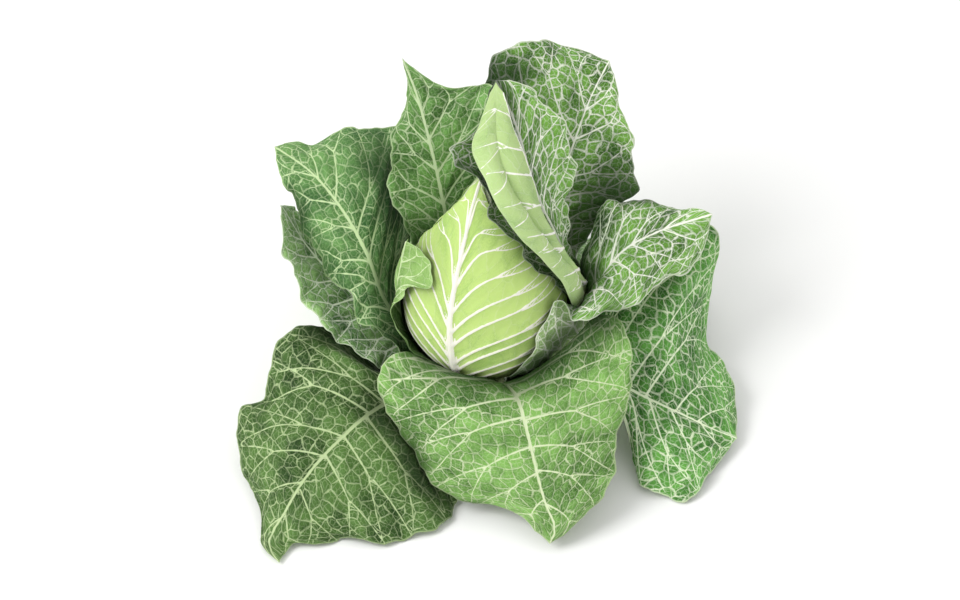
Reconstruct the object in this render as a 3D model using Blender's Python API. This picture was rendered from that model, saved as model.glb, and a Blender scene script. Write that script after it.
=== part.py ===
"""Pointed cabbage head with its opened wrapper leaves, standing on its cut stem.

Frame: +Z up, origin at the middle of the cut stem's flat underside. The front of the head faces -Y.
Every leaf is one thin closed solid that grows from the stem. The leaves are laid on from the inside out,
and each new one is eased clear of those that are already in place.
"""

import math

import bpy
import numpy as np
from mathutils import Vector
from mathutils.bvhtree import BVHTree

MM = 0.001

# Driving dimensions, in millimetres.
STEM_LENGTH = 40.0
STEM_FOOT_RADIUS = 16.0
STEM_TOP_RADIUS = 13.0
HEAD_FOOT = 42.0
HEAD_HEIGHT = 176.0
HEAD_RADIUS = 55.0
BLADE_THICKNESS = 1.5
RIB_THICKNESS = 2.6
LEAF_SPACING = 3.6
FLOOR_CLEARANCE = 0.8
HEAD_SPACING = 2.4
EASING_REACH = 16.0
EASING_STEPS = 14
LEAF_ROWS = 16
LEAF_HALF = 6

# The head's outline, as shares of its height and of its greatest radius.
HEAD_SHARES = (0.0, 0.05, 0.12, 0.22, 0.33, 0.50, 0.62, 0.73, 0.83, 0.90, 0.96, 1.0)
HEAD_RADII = (0.36, 0.62, 0.82, 0.97, 1.0, 0.90, 0.72, 0.52, 0.36, 0.25, 0.13, 0.03)

# Shares of a leaf's length at which its belly is given.
STATIONS = (0.0, 0.35, 0.7, 1.0)

GREENS = {
    "pale": (0.62, 0.74, 0.32, 1.0),
    "mid": (0.30, 0.50, 0.17, 1.0),
    "dark": (0.13, 0.30, 0.13, 1.0),
    "stem": (0.74, 0.78, 0.55, 1.0),
}


def through(stations, values, at):
    """Smooth curve through values given at stations, read at the places in at."""
    x = np.asarray(stations, float)
    y = np.asarray(values, float).reshape(len(x), -1)
    slope = np.gradient(y, x, axis=0)
    at = np.clip(np.asarray(at, float), x[0], x[-1])
    i = np.clip(np.searchsorted(x, at) - 1, 0, len(x) - 2)
    h = (x[i + 1] - x[i])[:, None]
    t = (at - x[i])[:, None] / h
    start, end = y[i], y[i + 1]
    found = (
        (2 * t**3 - 3 * t**2 + 1) * start
        + (t**3 - 2 * t**2 + t) * h * slope[i]
        + (3 * t**2 - 2 * t**3) * end
        + (t**3 - t**2) * h * slope[i + 1]
    )
    return found[:, 0] if np.ndim(values[0]) == 0 else found


def unit(vectors):
    return vectors / np.maximum(np.linalg.norm(vectors, axis=-1, keepdims=True), 1e-9)


def along(points):
    """Share of the way along a line of points, for each point."""
    steps = np.linalg.norm(np.diff(np.asarray(points, float), axis=0), axis=1)
    return np.concatenate([[0], np.cumsum(steps)]) / steps.sum()


def head_radius(share):
    """Radius of the head at shares of its height."""
    return HEAD_RADIUS * through(HEAD_SHARES, HEAD_RADII, np.ravel(share)).reshape(np.shape(share))


class OpenLeaf:
    """A leaf given by its midrib and its two margins, each a line of points from the foot to the tip.

    layer          how many leaves may lie between it and the head
    right, left    margins, as seen on the upper face with the tip pointing away
    belly          how far each side swells towards the upper face, as (right, left) at STATIONS
    sweep          how far the side veins bow back towards the foot, as a share of their length
    outward        whether its upper face looks away from the head
    """

    def __init__(self, name, layer, rib, right, left, belly=((0, 0),) * 4, sweep=0.12, shade="mid",
                 outward=False):
        self.name, self.layer, self.shade, self.outward = name, layer, shade, outward
        self.rib, self.margins = rib, {1: right, -1: left}
        self.belly, self.sweep = belly, sweep

    def surface(self, rows, half):
        """Middle surface, as rows of 2 * half + 1 points from the left margin to the right."""
        u = np.linspace(0, 1, rows)
        rib = through(along(self.rib), self.rib, u)
        edge = {side: through(along(line), line, u * 0.97) for side, line in self.margins.items()}
        tangent = unit(np.gradient(rib, u, axis=0))
        across = edge[1] - edge[-1]
        across = unit(across - (across * tangent).sum(1, keepdims=True) * tangent)
        normal = np.cross(across, tangent)
        v = np.linspace(0, 1, half + 1)[None, :, None]
        halves = {}
        for side, column in ((1, 0), (-1, 1)):
            swell = through(STATIONS, [pair[column] for pair in self.belly], u)[:, None]
            width = np.linalg.norm(edge[side] - rib, axis=1, keepdims=True)
            middle = (rib + edge[side]) / 2 + 2 * swell * normal - self.sweep * width * tangent
            rib_, middle_, edge_ = rib[:, None], middle[:, None], edge[side][:, None]
            halves[side] = (1 - v) ** 2 * rib_ + 2 * v * (1 - v) * middle_ + v**2 * edge_
        return np.concatenate([halves[-1][:, :0:-1], halves[1]], axis=1)


class HeadLeaf:
    """A leaf that wraps the head, given on the head's own surface.

    layer          its place outwards from the head
    azimuth        where its midrib lies, in degrees from +X, at the foot and at the tip
    right, left    angles that it reaches round the head at STATIONS, seen from inside the head
    reach          shares of the head's height where the midrib starts and ends
    stand          distance off the head's surface, as (midrib, margin) at STATIONS
    rise           how far its side veins climb, as a share of the head's height
    """

    def __init__(self, name, layer, azimuth, right, left, reach, stand, rise=0.1, shade="pale"):
        self.name, self.layer, self.shade, self.outward = name, layer, shade, False
        self.azimuth, self.reach, self.stand, self.rise = azimuth, reach, stand, rise
        self.spans = {-1: right, 1: left}

    def surface(self, rows, half):
        u = np.linspace(0, 1, rows)
        v = np.linspace(0, 1, half + 1)[None, :]
        halves = {}
        for side, spans in self.spans.items():
            middle = self.azimuth[0] + (self.azimuth[1] - self.azimuth[0]) * u[:, None]
            azimuth = np.radians(middle + side * through(STATIONS, spans, u)[:, None] * v)
            share = self.reach[0] + (self.reach[1] - self.reach[0]) * u[:, None]
            share = share + self.rise * (1 - u[:, None]) ** 0.7 * v**1.3
            rib, margin = (through(STATIONS, [pair[k] for pair in self.stand], u)[:, None] for k in (0, 1))
            radius = head_radius(np.clip(share, 0, 1)) + rib + (margin - rib) * v**1.6
            z = HEAD_FOOT + HEAD_HEIGHT * share
            halves[side] = np.stack([radius * np.cos(azimuth), radius * np.sin(azimuth), z], axis=-1)
        return np.concatenate([halves[1][:, :0:-1], halves[-1]], axis=1)


LEAVES = (
    HeadLeaf("head_back_leaf", 1, (80, 88), (85, 80, 55, 20), (85, 80, 55, 20), (0.02, 0.95),
             ((2.5, 3), (2.5, 3), (2.5, 3), (3, 3))),
    HeadLeaf("head_front_leaf", 1.6, (-112, -124), (60, 85, 60, 25), (90, 108, 70, 10), (0.02, 1.0),
             ((3, 5), (4, 6), (3.5, 5), (3, 3)), rise=0.2),
    OpenLeaf("side_bud_outer_leaf", 2.6,
             ((16.5, 2, 35), (46, 2, 52), (64, 4, 84), (64, 6, 114), (52, 4, 155), (40, 6, 184),
              (31, 14, 209), (24, 32, 228), (16, 50, 240), (7, 72, 247)),
             ((14, 11, 35), (50, 24, 62), (66, 24, 100), (60, 30, 142), (60, 34, 160), (64, 42, 182),
              (61, 54, 206), (48, 64, 226), (30, 72, 240), (9, 75, 248)),
             ((15, -8, 35), (44, -18, 58), (62, -10, 102), (49, -28, 137), (34, -36, 162), (20, -37, 184),
              (4, -30, 205), (-6, -14, 224), (-20, -2, 230), (-28, 14, 231), (-12, 23, 233), (0, 52, 242),
              (3, 73, 247)),
             ((0, 0), (-4, -3), (-4, -3), (0, 0)), shade="mid", outward=True),
    OpenLeaf("side_bud_inner_leaf", 4.2,
             ((17.5, 0, 30), (50, -2, 50), (70, 0, 96), (64, -12, 135), (47, -24, 168), (33, -25, 194),
              (21, -18, 214), (12, -7, 230), (8, 8, 240), (7, 26, 248), (7, 66, 250)),
             ((15.5, -9, 30), (46, -22, 56), (64, -24, 100), (58, -32, 136), (46, -38, 160), (28, -42, 190),
              (12, -36, 210), (1, -22, 224), (-8, -4, 234), (-10, 9, 240), (-5, 24, 244), (5, 66, 249)),
             ((16, 9, 30), (56, 10, 60), (72, 8, 100), (62, 0, 124), (46, -8, 168), (35, -4, 206),
              (28, 6, 226), (19, 26, 244), (11, 60, 254)),
             ((0, 0), (-4, -4), (-6, -6), (0, 0)), shade="pale"),
    OpenLeaf("collar_leaf", 3,
             ((-17, -3, 33), (-42, -6, 50), (-60, -10, 84), (-64, -7, 112), (-61, -3, 138), (-58, -7, 160)),
             ((-12, 11, 33), (-36, 38, 60), (-56, 34, 100), (-57, 18, 132), (-57, 6, 153)),
             ((-14, -12, 33), (-27, -46, 62), (-40, -49, 80), (-55, -41, 84), (-65, -30, 92),
              (-68, -22, 106), (-62, -22, 120), (-55, -26, 132), (-42, -36, 142), (-40, -27, 153),
              (-47, -15, 158), (-56, -9, 161)),
             ((-4, 0), (-6, -2), (-5, -2), (0, 0)), shade="mid"),
    OpenLeaf("right_leaf", 4,
             ((17, 0, 25), (52, -5, 39), (78, -15, 79), (82, -10, 116), (99, 17, 127), (125, 38, 128),
              (168, 54, 133)),
             ((13, -11, 25), (22, -42, 48), (18, -57, 74), (28, -60, 91), (41, -52, 107), (51, -36, 128),
              (64, -42, 113), (83, -28, 106), (103, -13, 100), (130, 8, 105), (158, 32, 110),
              (168, 52, 131)),
             ((13, 12, 25), (54, 40, 56), (77, 50, 104), (88, 62, 135), (108, 72, 132), (130, 70, 127),
              (153, 64, 130), (168, 56, 134)),
             ((-2, 0), (2, 3), (6, 5), (0, 0)), shade="mid"),
    OpenLeaf("front_leaf", 4,
             ((3, -17, 23), (6, -36, 42), (9, -55, 65), (20, -70, 68), (30, -100, 56), (36, -124, 43),
              (43, -148, 30), (50, -163, 17), (46, -168, 9)),
             ((-8, -15, 23), (-20, -43, 46), (-40, -45, 67), (-62, -45, 83), (-76, -50, 74), (-79, -63, 58),
              (-62, -82, 40), (-45, -113, 28), (-23, -129, 17), (10, -137, 17), (30, -153, 17),
              (40, -166, 9)),
             ((14, -14, 23), (40, -44, 58), (72, -38, 96), (95, -31, 108), (108, -55, 84), (98, -90, 54),
              (91, -127, 36), (84, -143, 30), (67, -155, 20), (54, -165, 12), (48, -168, 9)),
             ((0, 0), (4, -4), (6, 4), (0, 0)), shade="mid"),
    OpenLeaf("back_left_leaf", 4,
             ((-8, 15, 27), (-22, 52, 70), (-32, 76, 125), (-42, 92, 172), (-54, 112, 210), (-62, 122, 226)),
             ((2, 17, 27), (10, 62, 70), (14, 84, 130), (10, 92, 190), (2, 108, 214), (-8, 110, 210),
              (-27, 112, 207), (-43, 115, 213), (-60, 121, 225)),
             ((-14, 8, 27), (-48, 40, 70), (-54, 46, 114), (-68, 62, 131), (-72, 82, 156), (-68, 98, 176),
              (-60, 110, 193), (-58, 116, 208), (-63, 122, 226)),
             ((-3, -3), (-6, -4), (-4, -2), (0, 0)), shade="mid"),
    OpenLeaf("left_leaf", 5,
             ((-16, 3, 24), (-44, 8, 42), (-74, 18, 76), (-88, 32, 112), (-108, 54, 140), (-130, 74, 157),
              (-157, 91, 167)),
             ((-12, 12, 24), (-48, 44, 60), (-58, 66, 108), (-62, 102, 146), (-64, 119, 160),
              (-86, 116, 165), (-106, 112, 165), (-123, 106, 160), (-147, 98, 165), (-157, 92, 167)),
             ((-14, -8, 24), (-54, -20, 50), (-80, -8, 72), (-98, 5, 78), (-101, 15, 86), (-113, 25, 93),
              (-126, 38, 107), (-136, 50, 126), (-142, 60, 138), (-150, 69, 151), (-158, 88, 166)),
             ((-2, -2), (-3, -3), (4, 4), (0, 0)), shade="dark"),
    OpenLeaf("back_right_leaf", 6,
             ((10, 14, 21), (32, 50, 60), (48, 76, 116), (64, 98, 160), (79, 125, 190), (92, 149, 202)),
             ((15, 8, 21), (62, 50, 70), (84, 66, 118), (112, 78, 140), (111, 86, 146), (109, 102, 160),
              (99, 126, 186), (94, 145, 202)),
             ((2, 17, 21), (14, 66, 70), (14, 92, 140), (-2, 112, 206), (6, 127, 220), (29, 143, 227),
              (45, 148, 221), (64, 150, 214), (88, 150, 204)),
             ((-3, -4), (-5, -6), (4, 4), (0, 0)), shade="mid"),
    OpenLeaf("far_left_leaf", 6,
             ((-17, 0, 16), (-56, 16, 38), (-102, 42, 66), (-132, 52, 100), (-152, 56, 140)),
             ((-13, 9, 16), (-56, 58, 44), (-104, 86, 78), (-136, 82, 110), (-153, 60, 138)),
             ((-15, -9, 16), (-66, -26, 40), (-102, -14, 62), (-117, -8, 71), (-130, 2, 83), (-138, 12, 95),
              (-146, 22, 110), (-150, 36, 126), (-153, 53, 140)),
             ((0, 0), (-2, -2), (0, 0), (0, 0)), shade="mid"),
    OpenLeaf("front_left_leaf", 7,
             ((-14, -10, 16), (-47, -36, 36), (-78, -60, 44), (-107, -93, 42), (-132, -125, 33),
              (-146, -148, 22), (-158, -167, 6), (-150, -182, 4)),
             ((-17, -1, 16), (-71, -14, 36), (-105, -2, 62), (-134, 1, 73), (-149, -13, 70),
              (-161, -31, 56), (-165, -48, 42), (-180, -55, 36), (-184, -71, 27), (-179, -94, 14),
              (-169, -118, 8), (-163, -140, 6), (-163, -164, 5), (-152, -182, 4)),
             ((-6, -16, 16), (-30, -67, 22), (-25, -108, 8), (-21, -123, 5), (-41, -149, 4), (-59, -158, 4),
              (-79, -162, 4), (-103, -157, 4), (-124, -163, 4), (-140, -164, 4), (-146, -173, 4),
              (-149, -181, 4)),
             ((0, 0), (4, 4), (6, 5), (0, 0)), shade="mid"),
    OpenLeaf("far_right_leaf", 7,
             ((17, -5, 14), (58, -20, 34), (96, -32, 42), (116, -40, 36), (146, -50, 26), (170, -56, 16),
              (186, -57, 9)),
             ((12, -13, 14), (62, -44, 24), (84, -48, 26), (104, -58, 26), (109, -78, 12), (117, -106, 4),
              (149, -115, 4), (168, -86, 7), (184, -60, 8)),
             ((17, 6, 14), (72, 44, 48), (118, 72, 84), (160, 78, 100), (173, 68, 102), (168, 48, 66),
              (167, 24, 34), (178, 8, 22), (184, -10, 18), (187, -54, 10)),
             ((0, 0), (3, 3), (4, 4), (0, 0)), shade="dark"),
    OpenLeaf("low_back_leaf", 8,
             ((0, 18, 15), (-6, 62, 44), (-10, 110, 62), (-14, 160, 54), (-16, 196, 24)),
             ((9, 15, 15), (44, 60, 42), (60, 104, 54), (48, 160, 38), (10, 188, 20), (-10, 196, 22)),
             ((-9, 15, 15), (-48, 52, 40), (-74, 92, 54), (-78, 142, 36), (-52, 176, 18), (-22, 196, 22)),
             ((0, 0), (4, 4), (6, 6), (0, 0)), shade="mid"),
    OpenLeaf("low_right_leaf", 8,
             ((14, 11, 9), (54, 42, 30), (94, 76, 52), (128, 104, 44), (152, 126, 16)),
             ((17, 4, 9), (76, 20, 26), (130, 40, 40), (160, 74, 26), (162, 108, 10), (155, 124, 14)),
             ((8, 16, 9), (36, 70, 30), (62, 116, 42), (92, 142, 28), (126, 146, 10), (148, 130, 14)),
             ((0, 0), (4, 4), (6, 6), (0, 0)), shade="dark"),
)


def sheet_normals(grid):
    """Unit normals of a grid of points, on the side that the leaf's upper face looks to."""
    return unit(np.cross(np.gradient(grid, axis=1), np.gradient(grid, axis=0)))


def spread(field, passes):
    """Softens a field of pushes over a grid."""
    for _ in range(passes):
        padded = np.pad(field, ((1, 1), (1, 1), (0, 0)), mode="edge")
        near = padded[:-2, 1:-1] + padded[2:, 1:-1] + padded[1:-1, :-2] + padded[1:-1, 2:]
        field = 0.5 * field + 0.125 * near
    return field


def grid_triangles(rows, columns, start=0):
    faces = []
    for i in range(rows - 1):
        for j in range(columns - 1):
            a = start + i * columns + j
            faces += [(a, a + 1, a + columns + 1), (a, a + columns + 1, a + columns)]
    return faces


class Placed:
    """A surface that is already in place, which later leaves keep to the lower side of."""

    def __init__(self, grid, upper):
        rows, columns = grid.shape[:2]
        self.upper = upper
        points = [Vector(p) for p in grid.reshape(-1, 3)]
        self.tree = BVHTree.FromPolygons(points, grid_triangles(rows, columns))
        self.width = columns - 1

    def push(self, point, spacing, reach):
        """Vector that moves the point clear of this surface, or None where it is clear."""
        found, _, index, distance = self.tree.find_nearest(Vector(point), reach)
        if found is None:
            return None
        i, j = divmod(index // 2, self.width)
        normal = self.upper[i : i + 2, j : j + 2].reshape(-1, 3).mean(axis=0)
        lower = -normal / max(np.linalg.norm(normal), 1e-9)
        gap = point - np.array(found)
        depth = float(gap @ lower)
        aside = float(np.linalg.norm(gap - depth * lower))
        if aside > 0.6 * spacing or depth >= spacing:
            if distance >= spacing or distance < 1e-6:
                return None
            return gap / distance * (spacing - distance)
        return lower * (spacing - depth)


def outside(grid, margin):
    """The grid, moved out from the axis until it stands a margin off the head and the stem."""
    share = (grid[..., 2] - HEAD_FOOT) / HEAD_HEIGHT
    least = np.where(share < 0, STEM_FOOT_RADIUS + 2.5, head_radius(np.clip(share, 0, 1)) + margin)
    least = np.where(share > 1, 0, least)
    radius = np.maximum(np.linalg.norm(grid[..., :2], axis=-1), 1e-6)
    grow = np.maximum(least / radius, 1)
    return np.concatenate([grid[..., :2] * grow[..., None], grid[..., 2:]], axis=-1)


def eased(grid, placed, spacing, margin):
    """The grid, moved clear of the surfaces in place and of the ground."""
    grid = outside(grid, margin)
    for step in range(EASING_STEPS):
        move = np.zeros_like(grid)
        for i, j in np.ndindex(grid.shape[:2]):
            pushes = [other.push(grid[i, j], spacing, EASING_REACH) for other in placed]
            pushes = [p for p in pushes if p is not None]
            if pushes:
                move[i, j] = max(pushes, key=lambda p: float(p @ p))
        grid += spread(move, 2) * 1.3 if step < EASING_STEPS - 4 else move
        grid = outside(grid, margin)
        grid[..., 2] = np.maximum(grid[..., 2], FLOOR_CLEARANCE + RIB_THICKNESS)
    return grid


def leaf_solid(grid):
    """Points and faces of the leaf with its thickness, which is greatest along the midrib's foot."""
    rows, columns = grid.shape[:2]
    normal = sheet_normals(grid)
    u = np.linspace(0, 1, rows)[:, None]
    v = np.abs(np.linspace(-1, 1, columns))[None, :]
    rib = (RIB_THICKNESS - BLADE_THICKNESS) * np.clip(1 - 3 * v, 0, 1) * (1 - u)
    upper = grid + normal * BLADE_THICKNESS / 2
    lower = grid - normal * (BLADE_THICKNESS / 2 + rib)[..., None]
    count = rows * columns
    faces = [(a, b, c) for a, b, c in grid_triangles(rows, columns)]
    faces += [(c, b, a) for a, b, c in grid_triangles(rows, columns, count)]
    rim = [j for j in range(columns)] + [i * columns + columns - 1 for i in range(1, rows)]
    rim += [(rows - 1) * columns + j for j in range(columns - 2, -1, -1)]
    rim += [i * columns for i in range(rows - 2, 0, -1)]
    for a, b in zip(rim, rim[1:] + rim[:1]):
        faces += [(b, a, a + count), (b, a + count, b + count)]
    return np.concatenate([upper.reshape(-1, 3), lower.reshape(-1, 3)]), faces


def turned(profile, steps):
    """Points and faces of a solid of revolution, from (radius, height) pairs that run from top to bottom."""
    points = [(0, 0, profile[0][1])]
    for radius, z in profile:
        for k in range(steps):
            a = 2 * math.pi * k / steps
            points.append((radius * math.cos(a), radius * math.sin(a), z))
    points.append((0, 0, profile[-1][1]))
    last = len(points) - 1
    faces = [(0, 1 + k, 1 + (k + 1) % steps) for k in range(steps)]
    for ring in range(len(profile) - 1):
        a, b = 1 + ring * steps, 1 + (ring + 1) * steps
        for k in range(steps):
            n = (k + 1) % steps
            faces += [(a + k, b + k, b + n), (a + k, b + n, a + n)]
    faces += [(last, last - steps + (k + 1) % steps, last - steps + k) for k in range(steps)]
    return np.array(points), faces


def material(name):
    """Plain green of one shade, waxy rather than wet."""
    made = bpy.data.materials.get(name) or bpy.data.materials.new(name)
    made.use_nodes = True
    shader = made.node_tree.nodes["Principled BSDF"]
    shader.inputs["Base Color"].default_value = GREENS[name]
    shader.inputs["Roughness"].default_value = 0.55
    shader.inputs["Metallic"].default_value = 0.0
    made.diffuse_color = GREENS[name]
    return made


def add(name, points, faces, shade, collection):
    mesh = bpy.data.meshes.new(name)
    mesh.from_pydata((np.asarray(points) * MM).tolist(), [], faces)
    mesh.polygons.foreach_set("use_smooth", [True] * len(mesh.polygons))
    mesh.materials.append(material(shade))
    mesh.update()
    piece = bpy.data.objects.new(name, mesh)
    collection.objects.link(piece)
    return piece


def main():
    for old in list(bpy.data.objects):
        bpy.data.objects.remove(old, do_unlink=True)
    cabbage = bpy.data.collections.new("cabbage_head")
    bpy.context.scene.collection.children.link(cabbage)

    stem = [(STEM_TOP_RADIUS, STEM_LENGTH), (STEM_TOP_RADIUS + 0.5, STEM_LENGTH * 0.6),
            (STEM_FOOT_RADIUS - 1.5, STEM_LENGTH * 0.2), (STEM_FOOT_RADIUS, 1.0),
            (STEM_FOOT_RADIUS - 1.0, 0.0)]
    add("stem", *turned(stem, 24), "stem", cabbage)

    shares = np.linspace(1, 0, 15)
    radii = head_radius(shares)
    heights = HEAD_FOOT + HEAD_HEIGHT * shares
    add("head_core", *turned(list(zip(radii, heights)), 28), "pale", cabbage)

    angles = np.radians(np.linspace(0, 360, 41))
    across = [radii[:, None] * np.cos(angles), radii[:, None] * np.sin(angles)]
    ball = np.stack([*across, heights[:, None] + 0 * angles], axis=-1)
    placed = [Placed(ball, -unit(ball - [0, 0, HEAD_FOOT + 0.35 * HEAD_HEIGHT]))]
    for leaf in LEAVES:
        spacing = HEAD_SPACING if isinstance(leaf, HeadLeaf) else LEAF_SPACING
        grid = eased(leaf.surface(LEAF_ROWS, LEAF_HALF), placed, spacing, HEAD_SPACING * leaf.layer)
        placed.append(Placed(grid, sheet_normals(grid) * (-1 if leaf.outward else 1)))
        add(leaf.name, *leaf_solid(grid), leaf.shade, cabbage)


main()
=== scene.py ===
"""Pointed cabbage head with its wrapper leaves opened around it, standing on its cut stem.

Frame: +Z up, origin at the middle of the cut stem's flat underside, front towards -Y, in metres.
Leaf shapes are worked out in millimetres. Each leaf is laid on from the inside out and eased clear of the
leaves that are already in place, then given its veins, its pucker and its finish.
"""

import logging
import math
from dataclasses import dataclass
from enum import Enum
from typing import Sequence

import bpy
import numpy as np
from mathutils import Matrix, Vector
from mathutils.bvhtree import BVHTree


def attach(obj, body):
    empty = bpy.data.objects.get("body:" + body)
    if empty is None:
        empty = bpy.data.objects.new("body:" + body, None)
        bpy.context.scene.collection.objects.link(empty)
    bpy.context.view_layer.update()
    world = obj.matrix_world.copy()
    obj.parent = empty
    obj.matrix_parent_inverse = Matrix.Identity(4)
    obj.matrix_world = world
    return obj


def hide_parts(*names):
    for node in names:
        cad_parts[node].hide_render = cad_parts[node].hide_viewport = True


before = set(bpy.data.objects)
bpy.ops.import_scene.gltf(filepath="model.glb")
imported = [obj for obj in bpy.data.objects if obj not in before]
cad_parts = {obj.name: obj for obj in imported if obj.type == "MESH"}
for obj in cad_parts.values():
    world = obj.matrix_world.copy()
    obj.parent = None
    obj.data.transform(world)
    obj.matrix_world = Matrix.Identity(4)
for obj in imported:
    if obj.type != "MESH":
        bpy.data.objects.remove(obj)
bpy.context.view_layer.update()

log = logging.getLogger("cabbage")

Point = tuple[float, float, float]
Pair = tuple[float, float]
Colour = tuple[float, float, float]
Socket = bpy.types.NodeSocket
Input = Socket | float | Colour

MM = 0.001
FLAT_UNIT = 10.0  # millimetres of leaf to one unit of its flat layout
STATIONS = (0.0, 0.35, 0.7, 1.0)


class Slot(Enum):
    """Material slots of the record."""

    STEM = "stem"
    HEART = "heart_leaf"
    GREEN = "green_leaf"
    DARK = "dark_leaf"


@dataclass(frozen=True)
class Heart:
    """The closed heart, as a solid of revolution.

    Attributes:
        foot: Height of its underside.
        height: From its underside to its tip.
        radius: Greatest radius.
        shares: Shares of the height at which the outline is given.
        radii: Shares of the greatest radius there.
        unevenness: Greatest change of its radius round it, as a share.
    """

    foot: float = 42.0
    height: float = 176.0
    radius: float = 55.0
    shares: tuple[float, ...] = (0.0, 0.05, 0.12, 0.22, 0.33, 0.50, 0.62, 0.73, 0.83, 0.90, 0.96, 1.0)
    radii: tuple[float, ...] = (0.36, 0.62, 0.82, 0.97, 1.0, 0.90, 0.72, 0.52, 0.36, 0.25, 0.13, 0.03)
    unevenness: float = 0.004

    def radius_at(self, share: np.ndarray) -> np.ndarray:
        """Radius at shares of the height.

        Args:
            share: Places between 0, the underside, and 1, the tip.

        Returns:
            Radii in millimetres, in the shape of share.
        """
        return self.radius * through(self.shares, self.radii, np.ravel(share)).reshape(np.shape(share))

    def build(self, material: bpy.types.Material) -> bpy.types.Object:
        """Adds the solid inside of the heart, which shows only between its leaves.

        Args:
            material: Material of the leaves that wrap it.

        Returns:
            The piece.
        """
        shares = np.linspace(1, 0, 60)
        outline = list(zip(self.radius_at(shares), self.foot + self.height * shares))
        piece = lathe("head_core_look", outline, steps=96, unevenness=self.unevenness)
        piece.data.materials.append(material)
        return declared(piece, "head_core")


@dataclass(frozen=True)
class Stem:
    """The cut stem.

    Attributes:
        length: Height of its top, inside the heart's foot.
        foot_radius: Radius of its cut end.
        top_radius: Radius at its top.
        unevenness: Greatest change of its radius round it, as a share.
    """

    length: float = 40.0
    foot_radius: float = 16.0
    top_radius: float = 13.0
    unevenness: float = 0.012

    def build(self) -> bpy.types.Object:
        """Adds the stem, with the edge of its cut end rounded off.

        Returns:
            The piece.
        """
        foot, top, tall = self.foot_radius, self.top_radius, self.length
        outline = [(top, tall), (top + 0.5, 0.6 * tall), (foot - 1.5, 0.2 * tall)]
        outline += [(foot, 1.2), (foot - 0.4, 0.4), (foot - 1.2, 0)]
        heights = np.linspace(tall, 0.0, 40)
        radii = through([-z for _, z in outline], [r for r, _ in outline], -heights)
        piece = lathe("stem_look", list(zip(radii, heights)), steps=72, unevenness=self.unevenness)
        piece.data.materials.append(stem_material())
        return declared(piece, "stem")


@dataclass(frozen=True)
class Easing:
    """How leaves are eased clear of each other.

    Attributes:
        head_spacing: Distance between the leaves that wrap the heart, and added for each layer out.
        leaf_spacing: Distance between the middles of two open leaves.
        floor: Least height above the ground.
        reach: How deep a leaf may start in another and still be eased out of it.
        steps: Rounds of easing.
    """

    head_spacing: float = 2.4
    leaf_spacing: float = 3.6
    floor: float = 3.4
    reach: float = 16.0
    steps: int = 14


HEAD = Heart()
STEM = Stem()
EASING = Easing()
CAGE_ROWS = 16
CAGE_HALF = 6
CREVICE_STEP = 5
BLADE = 0.45  # half the thickness of a leaf, in millimetres
RIB_EXTRA = 0.35  # what the foot of its midrib adds to that
EDGE = 0.1  # half its thickness at the margin
LOWEST_UNDER = 0.6  # least height of a leaf's lower face above the ground
LOWEST_UPPER = 1.4  # the same for its upper face
MARGIN_REACH = 0.97  # share of a margin line that is used, so that the tip stays a little open
VEIN_REACH = 18.0  # millimetres from a vein within which it can be a point's nearest
VEIN_END = 1.3  # millimetres that a vein's round end may run past its line
NO_VEIN = 50.0  # millimetres to the nearest vein where none is in reach
FINER = 2.3  # how many times finer the second network is


def through(stations: Sequence, values: Sequence, at: np.ndarray) -> np.ndarray:
    """Smooth curve through values given at stations.

    Args:
        stations: Rising places where the values are given.
        values: One number or one point for each station.
        at: Places to read the curve at.

    Returns:
        The values at those places.
    """
    x = np.asarray(stations, float)
    y = np.asarray(values, float)
    flat = y.reshape(len(x), -1)
    slope = np.gradient(flat, x, axis=0)
    at = np.clip(np.asarray(at, float), x[0], x[-1])
    i = np.clip(np.searchsorted(x, at) - 1, 0, len(x) - 2)
    h = (x[i + 1] - x[i])[:, None]
    t = (at - x[i])[:, None] / h
    found = (
        (2 * t**3 - 3 * t**2 + 1) * flat[i]
        + (t**3 - 2 * t**2 + t) * h * slope[i]
        + (3 * t**2 - 2 * t**3) * flat[i + 1]
        + (t**3 - t**2) * h * slope[i + 1]
    )
    return found.reshape(len(at), *y.shape[1:])


def unit(vectors: np.ndarray) -> np.ndarray:
    """The vectors, each scaled to length 1."""
    return vectors / np.maximum(np.linalg.norm(vectors, axis=-1, keepdims=True), 1e-9)


def along(points: Sequence[Point]) -> np.ndarray:
    """Share of the way along a line of points, for each point."""
    steps = np.linalg.norm(np.diff(np.asarray(points, float), axis=0), axis=1)
    return np.concatenate([[0], np.cumsum(steps)]) / steps.sum()


def smooth(low: float, high: float, value: np.ndarray) -> np.ndarray:
    """Smooth step from 0 at low to 1 at high."""
    t = np.clip((value - low) / (high - low), 0, 1)
    return t * t * (3 - 2 * t)


@dataclass(frozen=True)
class VeinPlan:
    """The thick veins of a leaf.

    Attributes:
        starts: Shares of the midrib's length where side veins leave it.
        rib: Half-width of the midrib at its foot.
        side: Half-width of a side vein where it leaves the midrib, as a share of the midrib's there.
        fork: Share of a side vein's length where it forks.
        spread: How far apart the two arms of a fork end, as a share of the leaf's length.
        climb: How far a side vein climbs towards the tip, as a share of the leaf's length.
        bend: Share of the way to the margin in which most of that climb happens.
        droop: How far it then falls back.
        from_edge: Whether the side veins start at the left margin instead of the midrib.
        height: How far the veins stand out on the lower face.
    """

    starts: tuple[float, ...] = (0.09, 0.16, 0.24, 0.32, 0.41, 0.51, 0.61, 0.72, 0.83)
    rib: float = 2.3
    side: float = 0.58
    fork: float = 0.45
    spread: float = 0.055
    climb: float = 0.22
    bend: float = 0.9
    droop: float = 0.0
    from_edge: bool = False
    height: float = 1.0

    def path(self, start: float, w: np.ndarray) -> np.ndarray:
        """Shares of the leaf's length along the side vein from start, at shares w of its way out."""
        return start + self.climb * (1 - np.exp(-w / self.bend)) - self.droop * w**1.3


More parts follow.
